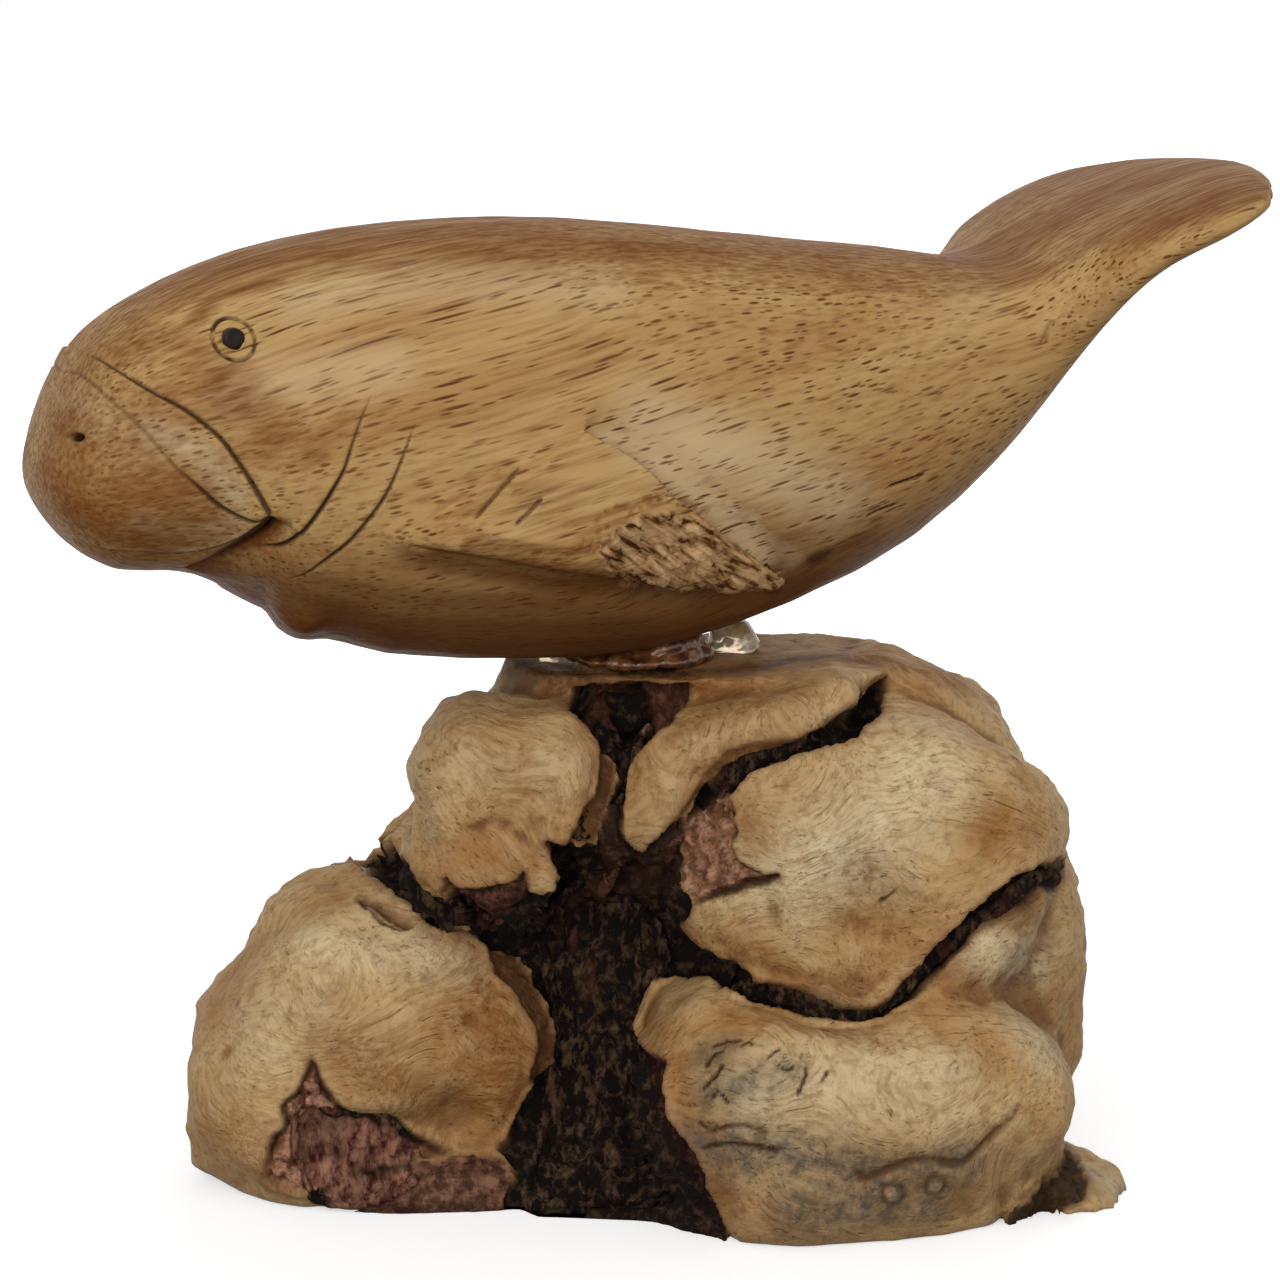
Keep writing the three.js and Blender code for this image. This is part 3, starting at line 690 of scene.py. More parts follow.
def carveManatee():
    sockets = [(Vector(centre), Vector(out), manatee["eyeHole"]["socket"])
               for centre, out in (eyePlace("left_eye"), eyePlace("right_eye"))]
    piece = evenCopy("manatee_body", "carvedManatee", manatee["voxel"], manatee["smoothing"], sockets)
    skin = skinOf(piece.data)
    lines = {name: traced(skin, size["pixels"]) for name, size in manatee["lines"].items()}
    refineCuts(piece, skin, lines)
    points = readPoints(piece)
    normals = readNormals(piece)
    folded, away = foldToNearSide(points)
    mirrored = normals - 2 * np.outer(normals @ bodyAcross, bodyAcross)
    facing = np.where((away > 0)[:, None], mirrored, normals)
    cuts = [eyeCut(points, folded), nostrilCut(folded, skin)]
    for name, line in lines.items():
        where, ways = (points, normals) if name in manatee["oneSided"] else (folded, facing)
        cuts.append(carve(where, ways, line, manatee["lines"][name]))
    raw, layer, arcs, push = rawTips(points, folded, facing)
    height, size = manatee["handLumps"]
    push += sum(pushed for pushed, ink in cuts) + chestFold(points, skin) + height * lumps(points, size, 2.0)
    moved = points + normals * push[:, None]
    moved[:, 2] += chestRise(points, normals)
    writePoints(piece, moved)
    # dark in the cuts, eye ring and nostril: dirt and painted shade; the knot is the wood's own dark
    writeMask(piece, "cut", np.maximum.reduce([ink for pushed, ink in cuts] + [knotDirt(points, skin)]))
    writeMask(piece, "raw", raw)
    writeMask(piece, "layer", layer)
    writeMask(piece, "heartwoodAndShade", heartwoodAndShadeMask(points, normals, folded, skin, arcs))
    writeMask(piece, "under", underMask(points, normals))
    # the facet is painted paler, and the strokes paint highlights of the sheen
    facet = facetMask(folded, facing, lines["flipperEdge"])
    writeMask(piece, "paleAndHighlight", np.maximum(facet, strokeMask(folded, skin, manatee["paleAndHighlight"])))
    finishPiece(piece, oiledSuar(), "carved_wood", "manatee_body")
    print("manatee carved:", triangleCount(piece), "triangles")


carveManatee()

# the eyes: a black peg turned on a lathe, domed, standing a little proud of its hole
eyePeg = {"radius": 1.26, "depth": 3.2, "proud": 0.3, "side": 0.2, "sunk": 1.1, "sides": 32}


def blackInlay():
    # buffalo horn, turned and polished: near black with a brown cast
    made, tree, space = newMaterial("blackHorn")
    cloud = addNode(tree, "TexNoise", {"Vector": space.outputs[0], "Scale": 1 / 0.8, "Detail": 2.0})
    colour = addNode(tree, "Mix", {
        0: cloud.outputs[0], 6: linear("#17110d"), 7: linear("#2c211b")}, data_type="RGBA")
    return finishMaterial(made, tree, {
        "Base Color": colour.outputs[2], "Roughness": 0.3, "IOR": 1.54, "Specular IOR Level": 0.08})


def setEyes():
    material = blackInlay()
    for nodeName in ("left_eye", "right_eye"):
        centre, out = eyePlace(nodeName)
        low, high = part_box(nodeName)
        corners = np.array([[x, y, 0] for x in (low.x, high.x) for y in (low.y, high.y)]) / mm
        face = centre + out * ((corners @ out).max() - centre @ out - eyePeg["sunk"])
        shape = bmesh.new()
        radius, depth, proud = eyePeg["radius"], eyePeg["depth"], eyePeg["proud"]
        profile = [(0, -depth), (radius, -depth), (radius, -eyePeg["side"])]
        profile += [(radius * math.cos(a), proud * math.sin(a)) for a in np.linspace(0, math.pi / 2, 6)]
        outline = [shape.verts.new(Vector(face + out * h + bodyAlong * r) * mm) for r, h in profile]
        edges = [shape.edges.new(pair) for pair in zip(outline[:-1], outline[1:])]
        bmesh.ops.spin(shape, geom=outline + edges, cent=Vector(face) * mm, axis=Vector(out),
                       angle=2 * math.pi, steps=eyePeg["sides"], use_merge=True)
        bmesh.ops.remove_doubles(shape, verts=shape.verts, dist=0.01 * mm)
        bmesh.ops.recalc_face_normals(shape, faces=shape.faces)
        mesh = bpy.data.meshes.new(nodeName + "_inlay")
        shape.to_mesh(mesh)
        shape.free()
        mesh.shade_smooth()
        finishPiece(newObject(nodeName + "_inlay", mesh), material, "eye_inlay", nodeName)
    print("eyes set")


setEyes()

# the ingrown bark: sizes in mm
bark = {
    "voxel": 0.55,
    "smoothing": 3,
    "swell": 0.1,
    # how far the open face has crumbled away
    "sink": {"bark_main": 1.6, "bark_left": 2.0, "bark_upper": 2.2, "bark_right": 2.2, "bark_foot": 1.1,
             "bark_back": 1.9, "bark_back_left": 1.6, "bark_back_right": 1.6},
    "crumbs": [(5.0, 1.3, 1.0), (2.0, 1.0, 2.0), (0.9, 0.5, 3.0)],      # size, height, seed
    "stretch": 0.55,             # the crumbs are longer upwards
    "calm": 4,                   # passes that average the normals with their neighbours
    "flare": 2.5,                # how far the bark of the valley spreads over the ground
    "flareColumns": (500, 730),  # none and all of it at these columns of the photograph
    "flareHeight": 12.0,
    "trodden": (1.2, 2.6),       # bark below this height lies on the ground, in front and behind
}

# the root: sizes in mm, places as pixels of the photograph
root = {
    "voxel": 0.8,
    "smoothing": 4,
    "refine": 1.3,               # reach of the finer skin along lines and zone edges
    "lumps": [(14.0, 0.7, 1.0), (5.0, 0.4, 2.0), (1.9, 0.18, 3.0)],    # size, height, seed
    "hollowReach": 15.0,         # how far away a wall still makes a place hollow
    "crumbs": [(2.2, 0.9, 6.0, 3), (0.9, 0.54, 7.0)],        # of the bark on hollow walls
    "ragged": [(3.0, 2.5, 9.0), (1.1, 1.5, 10.0)],           # edges of the zones, height in pixels
    "zoneReach": 14.0,           # how far behind the first face a zone still counts
    "lip": {"height": 0.35, "ink": 0.55},        # the knobs swell where they meet the bark, and darken there: painted shade
    "foot": {"middle": -27.0, "half": 12.0, "height": 11.0, "line": -19.0, "share": 0.6},
    # photo column, and how far the front edge of the sole moves back there
    "sole": [
        (718, 0), (740, -3.5), (799, -2.6), (850, 0), (892, 1.6), (942, 3), (972, 3.6), (992, 3),
        (1004, 4.8), (1030, 4.8), (1048, 3.6), (1066, 0)],
    "soleReach": {"height": 13.0, "front": (12.0, 22.0)},    # up to where it moves, and from where on
    "crease": {"depth": 0.3, "ink": 0.7, "cream": 0.15},     # dirt and painted shade in creases this deep, and paler tops
    "unseenLumps": 1.2,          # more unevenness where the photograph does not look
    # the clefts are closed by their bark, swelled by this much, and sunk again inside the zones
    "closed": {"bark_main": 0.4, "bark_left": 0.4, "bark_upper": 0.4, "bark_right": 0.4, "bark_foot": 0.4,
               "bark_back": 3.4, "bark_back_left": 3.2, "bark_back_right": 3.2},
    "hollowFrom": {"dark": (0.2, 0.42), "lip": (0.08, 0.27)},        # share of the way out that is blocked, where the dark and the lip set in: painted shade
    "calm": {"normals": 4, "seen": 8, "crease": 14},         # passes that average with the neighbours
    "zoneEdges": {"mask": (-2, 4), "lip": (-9, -1), "dip": (-64, 8)},    # pixels inside, where each sets in
    # a later zone covers an earlier one
    "zones": {
        "valley": {"sink": 2.8, "dark": 1.0, "outline": [
            (612, 792), (619, 779), (625, 800), (622, 830), (632, 850), (643, 851), (656, 839), (668, 824),
            (683, 814), (685, 832), (680, 852), (680, 876), (692, 905), (683, 927), (693, 947), (716, 962),
            (707, 975), (673, 976), (651, 981), (640, 1006), (632, 1025), (637, 1041), (648, 1052),
            (666, 1062), (662, 1073), (660, 1092), (664, 1114), (677, 1133), (696, 1152), (703, 1174),
            (715, 1208), (730, 1230), (728, 1262), (600, 1262), (505, 1250), (501, 1200), (512, 1182),
            (512, 1167), (499, 1150), (512, 1129), (524, 1103), (539, 1081), (554, 1062), (557, 1047),
            (551, 1025), (542, 995), (531, 968), (512, 951), (490, 945), (470, 934), (449, 929), (428, 921),
            (414, 906), (395, 894), (387, 884), (371, 878), (358, 866), (348, 856), (372, 846), (387, 838),
            (393, 851), (412, 865), (422, 884), (433, 896), (449, 897), (445, 878), (460, 889), (489, 890),
            (516, 881), (524, 874), (529, 894), (543, 896), (554, 892), (558, 878), (556, 865), (548, 851),
            (543, 842), (560, 847), (580, 848), (598, 845), (602, 818)]},
        "recess": {"sink": 3.6, "dark": 1.0, "outline": [
            (572, 687), (570, 714), (587, 727), (599, 747), (615, 762), (619, 779), (612, 800), (625, 800),
            (628, 774), (634, 762), (643, 747), (655, 730), (670, 721), (685, 706), (690, 686),
            (640, 682)]},
        "upperCleft": {"sink": 3.0, "dark": 1.0, "outline": [
            (884, 678), (872, 683), (851, 706), (828, 724), (804, 738), (769, 749), (743, 757), (719, 769),
            (703, 785), (692, 803), (684, 815), (690, 826), (705, 812), (725, 796), (737, 783), (751, 771),
            (772, 762), (804, 754), (828, 747), (857, 740), (873, 722), (886, 692)]},
        "rightCleft": {"sink": 3.0, "dark": 1.0, "outline": [
            (681, 932), (701, 948), (724, 959), (750, 974), (759, 982), (772, 985), (798, 986), (816, 994),
            (834, 997), (845, 1004), (857, 1007), (875, 1007), (889, 998), (904, 982), (922, 964),
            (933, 947), (951, 932), (971, 915), (992, 897), (1015, 879), (1033, 868), (1058, 858),
            (1060, 880), (1048, 897), (1033, 912), (1007, 919), (983, 926), (963, 947), (939, 970),
            (922, 991), (898, 1006), (883, 1017), (863, 1023), (839, 1020), (804, 1014), (775, 1008),
            (751, 1000), (728, 986), (707, 976), (687, 973)]},
        # brown side walls of the knobs and the finger's underside: brown wood with painted shade where they
        # turn away
        "lobeRim": {"sink": 1.5, "dark": 0.35, "rim": 1.0, "outline": [
            (599, 742), (616, 762), (613, 792), (605, 818), (600, 847), (580, 850), (569, 844), (577, 826),
            (583, 811), (594, 796), (595, 781), (596, 762)]},
        "kneeRim": {"sink": 0.9, "dark": 0.4, "rim": 0.9, "outline": [
            (490, 946), (512, 949), (532, 968), (543, 995), (552, 1025), (558, 1047), (555, 1063),
            (539, 1083), (529, 1080), (536, 1050), (534, 1025), (523, 1007), (510, 988), (494, 975)]},
        "fingerRim": {"sink": 0.5, "rim": 0.9, "outline": [
            (806, 736), (778, 740), (752, 744), (734, 747), (722, 756), (706, 771), (690, 792), (668, 822),
            (683, 815), (692, 803), (703, 785), (719, 769), (743, 757), (769, 750), (804, 740)]},
        "shieldBark": {"sink": 1.1, "red": 0.9, "outline": [
            (685, 830), (692, 812), (715, 800), (725, 797), (731, 815), (733, 830), (729, 845), (737, 863),
            (760, 875), (778, 877), (752, 885), (733, 890), (715, 895), (700, 899), (692, 905), (679, 875),
            (680, 852)]},
        "recessLeft": {"sink": 3.0, "dark": 0.75, "red": 1.0, "outline": [
            (590, 688), (592, 702), (602, 717), (612, 731), (620, 742), (625, 728), (624, 705),
            (622, 688)]},
        "recessRight": {"sink": 2.8, "dark": 0.75, "red": 1.0, "outline": [
            (646, 688), (642, 706), (641, 732), (650, 733), (663, 721), (681, 705), (688, 690)]},
        "fingerBark": {"sink": 0.8, "dark": 0.95, "red": 0.4, "outline": [
            (603, 815), (612, 802), (621, 806), (621, 834), (631, 853), (643, 854), (657, 842), (672, 826),
            (683, 820), (684, 850), (680, 882), (660, 896), (632, 900), (608, 888), (598, 860)]},
        "fingerRed": {"sink": 0.6, "dark": 0.7, "red": 1.0, "outline": [
            (604, 834), (608, 846), (618, 858), (632, 864), (650, 864), (664, 852), (678, 832), (683, 834),
            (678, 850), (668, 864), (652, 874), (634, 876), (615, 868), (605, 854)]},
        "lobePocket": {"sink": 1.0, "dark": 0.88, "red": 1.0, "outline": [
            (449, 895), (460, 890), (489, 891), (516, 882), (524, 875), (529, 895), (516, 916), (495, 916),
            (460, 903)]},
        "footPocket": {"sink": 1.5, "red": 0.95, "outline": [
            (310, 1060), (318, 1080), (327, 1095), (338, 1107), (355, 1121), (377, 1127), (392, 1124),
            (410, 1140), (453, 1156), (430, 1163), (380, 1170), (345, 1178), (322, 1190), (300, 1196),
            (270, 1187), (262, 1176), (271, 1140), (285, 1130), (281, 1105), (297, 1092), (305, 1075)]},
        "footLump": {"dark": 0.62, "red": 0.9, "outline": [
            (322, 1192), (345, 1180), (380, 1172), (430, 1165), (470, 1157), (503, 1160), (513, 1175),
            (508, 1198), (500, 1240), (400, 1240), (330, 1230)]},
        "toeBark": {"sink": 0.5, "dark": 0.86, "outline": [
            (1064, 1146), (1078, 1158), (1087, 1180), (1085, 1197), (1060, 1207), (1022, 1224),
            (1004, 1228), (1040, 1192), (1057, 1166)]},
        # guessed clefts of the back, as mm across and up
        "backTrunk": {"side": "back", "sink": 3.6, "dip": 1.8, "dark": 1.0, "outline": [
            (-3.5, 63.5), (-8, 62), (-11, 55), (-9.5, 49), (-13.5, 41), (-11.5, 33), (-12, 27), (-15.5, 21),
            (-13, 12), (-18, 4), (-22, -4), (7, -4), (3, 4), (-0.5, 11), (2.5, 19), (-1.5, 26), (0.5, 32),
            (-3, 41), (-1, 48), (-3.5, 56)]},
        "backLeft": {"side": "back", "sink": 3.0, "dip": 1.5, "dark": 1.0, "outline": [
            (-9, 39.5), (-15, 42.5), (-21, 43), (-27, 45), (-33, 47), (-27, 47.5), (-21, 47.5), (-15, 46),
            (-9, 46.5)]},
        "backRight": {"side": "back", "sink": 3.0, "dip": 1.5, "dark": 1.0, "outline": [
            (-3, 35.5), (4, 35.5), (10, 34.5), (16, 32), (22, 32.5), (30, 34.5), (24, 29.5), (17, 28),
            (10, 30.5), (4, 31), (-3, 28.5)]},
        "backBark": {"side": "back", "sink": 2.6, "dip": 1.0, "dark": 0.1, "red": 0.9, "outline": [
            (-12, 26), (-16, 27), (-19, 24), (-17, 20), (-13, 19), (-10, 22)]},
    },
    # cuts and cracks
    "lines": {
        "shieldNotch": {"width": 0.7, "depth": 1.4, "wall": 0.7, "pixels": [
            (780, 875), (762, 882), (745, 884), (735, 890), (715, 894), (694, 903)]},
        "shieldNotchUpper": {"width": 0.4, "depth": 0.8, "pixels": [
            (726, 797), (732, 812), (729, 822), (735, 832), (729, 846), (737, 862), (752, 870),
            (766, 876)]},
        "pocketCrack": {"width": 0.8, "depth": 1.2, "fade": (0.1, 0.1), "pixels": [
            (311, 1062), (318, 1081), (328, 1097), (340, 1110), (356, 1123), (376, 1129), (392, 1128),
            (412, 1143), (450, 1156)]},
        "pocketCrackTwo": {"width": 0.5, "depth": 0.8, "pixels": [
            (310, 1064), (304, 1080), (297, 1094), (283, 1106), (285, 1128), (272, 1142), (266, 1174)]},
        "lobeCrack": {"width": 0.5, "depth": 0.8, "pixels": [
            (445, 878), (460, 889), (488, 889), (505, 886)]},
        "lobeArc": {"width": 0.9, "depth": 0.35, "ink": 0.15, "pixels": [
            (466, 829), (484, 824), (498, 821), (512, 832), (530, 846), (545, 858)]},
        "kneeSlot": {"width": 1.7, "depth": 1.6, "ink": 0.35, "pixels": [
            (358, 893), (375, 900), (395, 915), (414, 926)]},
        "kneeSlotEdge": {"width": 0.45, "depth": 0.6, "ink": 0.7, "pixels": [
            (361, 900), (373, 914), (390, 924), (408, 930)]},
        "stainCrack": {"width": 0.5, "depth": 0.6, "pixels": [
            (700, 1148), (730, 1143), (760, 1146), (780, 1151)]},
        "bandCrease": {"width": 0.9, "depth": 0.7, "ink": 0.45, "pixels": [
            (850, 1168), (868, 1180), (895, 1168), (925, 1160), (960, 1164), (990, 1140), (1008, 1122),
            (1022, 1104)]},
        "knotRing": {"width": 0.45, "depth": 0.3, "ink": 0.42, "fade": (0, 0), "pixels": [
            (882, 1197), (886, 1188), (895, 1186), (903, 1191), (904, 1200), (896, 1207), (886, 1205),
            (882, 1197)]},
        "knotRingTwo": {"width": 0.45, "depth": 0.3, "ink": 0.42, "fade": (0, 0), "pixels": [
            (926, 1188), (930, 1180), (938, 1179), (945, 1185), (943, 1194), (935, 1198), (928, 1195),
            (926, 1188)]},
        "bandDash": {"width": 0.4, "depth": 0.35, "ink": 0.6, "pixels": [
            (696, 1120), (712, 1130), (740, 1124), (772, 1134)]},
    },
    # short dashes, as wide as deep
    "dashes": [
        (0.35, [(712, 1047), (728, 1040), (742, 1037)]), (0.4, [(702, 1090), (714, 1077), (724, 1064)]),
        (0.35, [(710, 1100), (719, 1092), (730, 1105)]), (0.35, [(775, 1062), (786, 1070), (793, 1066)]),
        (0.35, [(806, 1066), (804, 1080), (797, 1096)]), (0.3, [(829, 1070), (824, 1078), (820, 1084)]),
        (0.3, [(766, 1060), (774, 1052), (782, 1048)]), (0.35, [(704, 1068), (712, 1058), (726, 1050)]),
        (0.35, [(738, 1046), (748, 1040), (752, 1044)]), (0.3, [(878, 903), (888, 896), (897, 889)])],
    # bumps and dents: place, reach and height
    "touches": [
        ((500, 775), 9.0, -0.6), ((457, 1111), 5.0, -1.6), ((472, 1019), 2.0, -0.6),
        ((396, 1046), 2.2, -0.4), ((760, 1090), 8.0, 0.7), ((893, 1197), 1.8, 0.15),
        ((935, 1188), 1.8, 0.15), ((1010, 950), 5.0, 0.8), ((1040, 1010), 6.0, -0.7),
        ((690, 1010), 5.0, 0.8), ((515, 863), 2.0, 0.5), ((545, 878), 2.5, 0.8), ((1056, 1085), 8.0, 1.7),
        ((1052, 1130), 7.0, 1.3)],
    "unseenStains": [("cream", 0.7, 24.0, 11.0), ("warm", 0.6, 20.0, 12.0), ("grey", 0.5, 17.0, 13.0)],
    # painted stains, as strokes: cream, warm oil, brown rims, partly painted shade, grey rot and red inner
    # bark
    "stains": {
        "cream": [
            ([(790, 880), (850, 830), (930, 770)], 11.0, 0.8),
            ([(760, 1090), (850, 1080), (940, 1085)], 10.0, 0.6),
            ([(300, 940), (380, 950), (460, 965)], 6.0, 0.6), ([(250, 1030), (300, 1000)], 10.0, 0.35),
            ([(470, 760), (540, 770)], 7.0, 0.3), ([(900, 720), (960, 730)], 6.0, 0.4),
            ([(650, 820), (670, 770), (740, 725), (820, 700)], 4.0, 0.15),
            # the first stroke is also painted light that lifts the shade cast by the knob above
            ([(985, 950), (1030, 970)], 6.0, 0.8), ([(1020, 1010), (1040, 1050)], 6.0, 0.6),
            ([(1094, 1170), (1112, 1186)], 5.0, 0.8), ([(893, 1197), (894, 1196)], 1.2, 0.45),
            ([(935, 1188), (936, 1188)], 1.2, 0.45)],
        "warm": [
            ([(470, 740), (520, 790), (500, 840)], 13.0, 0.4),
            ([(640, 800), (660, 760), (720, 720), (800, 700)], 5.0, 0.5),
            ([(480, 1000), (510, 1040), (490, 1100)], 9.0, 0.95),
            ([(430, 1130), (400, 1090), (360, 1050)], 8.0, 0.75), ([(740, 820), (750, 860)], 5.0, 0.5),
            ([(700, 930), (770, 965), (850, 990)], 4.0, 0.45),
            ([(650, 1010), (680, 1080), (700, 1130)], 4.0, 0.7),
            ([(730, 1010), (800, 1030), (890, 1045)], 2.6, 0.6), ([(720, 1190), (800, 1215)], 4.0, 0.7),
            ([(540, 665), (700, 676), (860, 662), (960, 680)], 6.0, 1.0),
            ([(215, 1130), (280, 1180)], 6.0, 0.5), ([(980, 830), (1030, 830)], 5.0, 0.6)],
        # brown rims, with painted shade: under the manatee on the top, and along the slot
        "rim": [
            ([(372, 872), (400, 893), (430, 915)], 1.0, 0.6),
            ([(505, 664), (560, 680), (640, 681)], 4.0, 0.8),
            ([(640, 676), (740, 668), (830, 660)], 5.0, 0.8)],
        "grey": [
            ([(700, 1150), (780, 1155), (850, 1170), (900, 1185), (960, 1165)], 7.0, 1.0),
            ([(800, 1205), (860, 1208), (930, 1205)], 7.0, 1.0), ([(705, 1060), (725, 1045)], 4.0, 0.8),
            ([(705, 1095), (790, 1070)], 4.0, 0.8), ([(1010, 985), (1040, 1000), (1050, 1040)], 8.0, 0.35),
            ([(1020, 940), (1050, 950)], 5.0, 0.4), ([(850, 860), (890, 890)], 5.0, 0.35),
            ([(1095, 1172), (1110, 1188)], 6.0, 0.35), ([(420, 780), (430, 830)], 3.0, 0.4)],
        "innerBark": [
            ([(640, 1050), (650, 1090), (668, 1130), (690, 1170), (712, 1215)], 2.6, 0.8),
            ([(560, 690), (574, 716), (596, 742)], 2.0, 0.6)],
    },
}
barkNodes = sorted(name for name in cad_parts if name.startswith("bark_"))


def rootBurl():
    # burl of an old root, scraped and oiled: cream and tan, with winding fibre, dark hair lines and stains
    made, tree, space = newMaterial("rootBurl")
    painted = {name: addNode(tree, "Attribute", attribute_name=name).outputs["Fac"]
               for name in ("cream", "warm", "grey", "rim", "innerBark", "lip", "hollow")}
    # the fibre winds in eddies of about 20 mm
    eddy = addNode(tree, "TexNoise", {"Vector": space.outputs[0], "Scale": 1 / 20, "Detail": 1.0})
    wound = addNode(tree, "VectorMath", {
        0: eddy.outputs["Color"], 1: (34, 34, 34), 2: space.outputs[0]}, operation="MULTIPLY_ADD")
    fibreSpace, hairSpace = [
        addNode(tree, "Mapping", {
            "Vector": wound.outputs[0], "Rotation": turn, "Scale": tuple(1 / side for side in size)})
        for turn, size in (
            ((0.3, math.radians(28), 0.5), (5, 0.9, 0.9)), ((0.2, math.radians(40), 0.3), (3, 0.6, 0.6)))]
    # patterns: their space, and their size in it
    patterns = {}
    for name, kind, lies, size, settings in (
            ("cloud", "TexNoise", space, 12, {"Detail": 4.0}),
            ("fibre", "TexNoise", fibreSpace, 1, {"Detail": 6.0, "Roughness": 0.62, "Distortion": 0.5}),
            # hair lines 0.3 mm thick and 2 to 4 mm long, in flocks
            ("hair", "TexNoise", hairSpace, 1, {"Detail": 3.0, "Distortion": 0.8}),
            ("flock", "TexNoise", space, 14, {"Detail": 2.0}),
            ("speck", "TexNoise", space, 1.5, {"Detail": 5.0, "Roughness": 0.65}),
            ("eye", "TexVoronoi", space, 11, {})):     # dots of 1.5 mm
        patterns[name] = addNode(tree, kind, {
            "Vector": lies.outputs[0], "Scale": 1 / size, **settings}).outputs[0]
    # masks: from where to where in their pattern, and their value at either end
    masks = {}
    for name, source, start, end, first, last in (
            ("cloud", "cloud", 0.36, 0.64, 0.0, 1.0),
            ("fibre", "fibre", 0.46, 0.72, 0.0, 0.65),
            ("hair", "hair", 0.62, 0.74, 0.0, 0.75),
            ("flock", "flock", 0.46, 0.62, 0.05, 1.0),
            ("speck", "speck", 0.4, 0.62, 0.0, 1.0),
            ("scraped", "speck", 0.5, 0.7, 0.0, 0.45),
            ("eye", "eye", 0.03, 0.09, 0.6, 0.0),
            ("warmFibre", "fibre", 0.34, 0.6, 0.35, 0.9),
            ("greySpeck", "speck", 0.36, 0.62, 0.45, 0.95)):
        masks[name] = addNode(tree, "MapRange", {
            "Value": patterns[source], "From Min": start, "From Max": end,
            "To Min": first, "To Max": last}).outputs[0]
    # hair shows in flocks and in grey rot, and the pattern breaks up the painted stains
    for name, one, other, operation in (
            ("flocks", masks["flock"], painted["grey"], "MAXIMUM"),
            ("warm", painted["warm"], masks["warmFibre"], "MULTIPLY"),
            ("grey", painted["grey"], masks["greySpeck"], "MULTIPLY")):
        masks[name] = addNode(tree, "Math", {0: one, 1: other}, operation=operation).outputs[0]
    hairInk = addNode(tree, "Math", {0: masks["hair"], 1: masks["flocks"]}, operation="MULTIPLY")
    # grounds of two colours
    grounds = {}
    for name, mask, one, other in (
            ("tan", "cloud", "#c9a876", "#aa7f4c"), ("rim", "speck", "#331d0d", "#775028"),
            ("red", "speck", "#4c241a", "#bd8b6e"), ("bark", "scraped", "#120c08", "#6e5237"),
            ("wine", "scraped", "#24100c", "#8c5040")):
        grounds[name] = addNode(tree, "Mix", {
            0: masks[mask], 6: linear(one), 7: linear(other)}, data_type="RGBA").outputs[2]
    crumbs = addNode(tree, "Mix", {
        0: painted["innerBark"], 6: grounds["bark"], 7: grounds["wine"]}, data_type="RGBA")
    colour = grounds["tan"]
    for mask, over in (
            (painted["cream"], linear("#dbc79e")),
            (masks["fibre"], linear("#8f6435")),
            (hairInk.outputs[0], linear("#5b3b1e")),
            (masks["scraped"], linear("#7c5630")),
            (masks["eye"], linear("#5d3c1f")),
            (masks["warm"], linear("#7f4f1f")),
            (masks["grey"], linear("#544d40")),
            # brown rims, with painted shade on the walls that turn away and under the manatee
            (painted["rim"], grounds["rim"]),
            (painted["innerBark"], grounds["red"]),
            # darker brown at the knobs' edges by the bark, round hollows and in creases: painted shade, with
            # dirt in the creases
            (painted["lip"], linear("#6d4522")),
            # dark bark in the clefts and cracks, and painted shade in hollow places
            (painted["hollow"], crumbs.outputs[2])):
        colour = addNode(tree, "Mix", {0: mask, 6: colour, 7: over}, data_type="RGBA").outputs[2]
    rough = addNode(tree, "MapRange", {"Value": painted["hollow"], "To Min": 0.55, "To Max": 0.9})
    height = addNode(tree, "Math", {
        0: masks["hair"], 1: -0.6, 2: patterns["speck"]}, operation="MULTIPLY_ADD")
    bump = addNode(tree, "Bump", {
        "Strength": 0.85, "Distance": 0.5 * mm, "Height": height.outputs[0]})
    return finishMaterial(made, tree, {
        "Base Color": colour, "Roughness": rough.outputs[0], "Normal": bump.outputs[0],
        "IOR": 1.48, "Specular IOR Level": 0.12})


def hollowness(points, normals, skin, reach, wanted):
    # share of the way out of each wanted place that other walls block
    steps = [(x, y, z) for x in (-1, 0, 1) for y in (-1, 0, 1) for z in (-1, 0, 1)]
    ways = [Vector(step).normalized() for step in steps if any(step)]
    dots = normals @ np.array(ways).T
    blocked = np.zeros(len(points))
    weight = np.zeros(len(points))
    for k, way in enumerate(ways):
        for i in np.where(wanted & (dots[:, k] > 0.25))[0]:
            weight[i] += dots[i, k]
            start = Vector(points[i]) + Vector(normals[i]) * 0.4
            hit = skin.ray_cast(start, way, reach)[3]
            if hit is not None:
                blocked[i] += dots[i, k] * (1 - hit / reach)
    return blocked / np.maximum(weight, 1e-6)


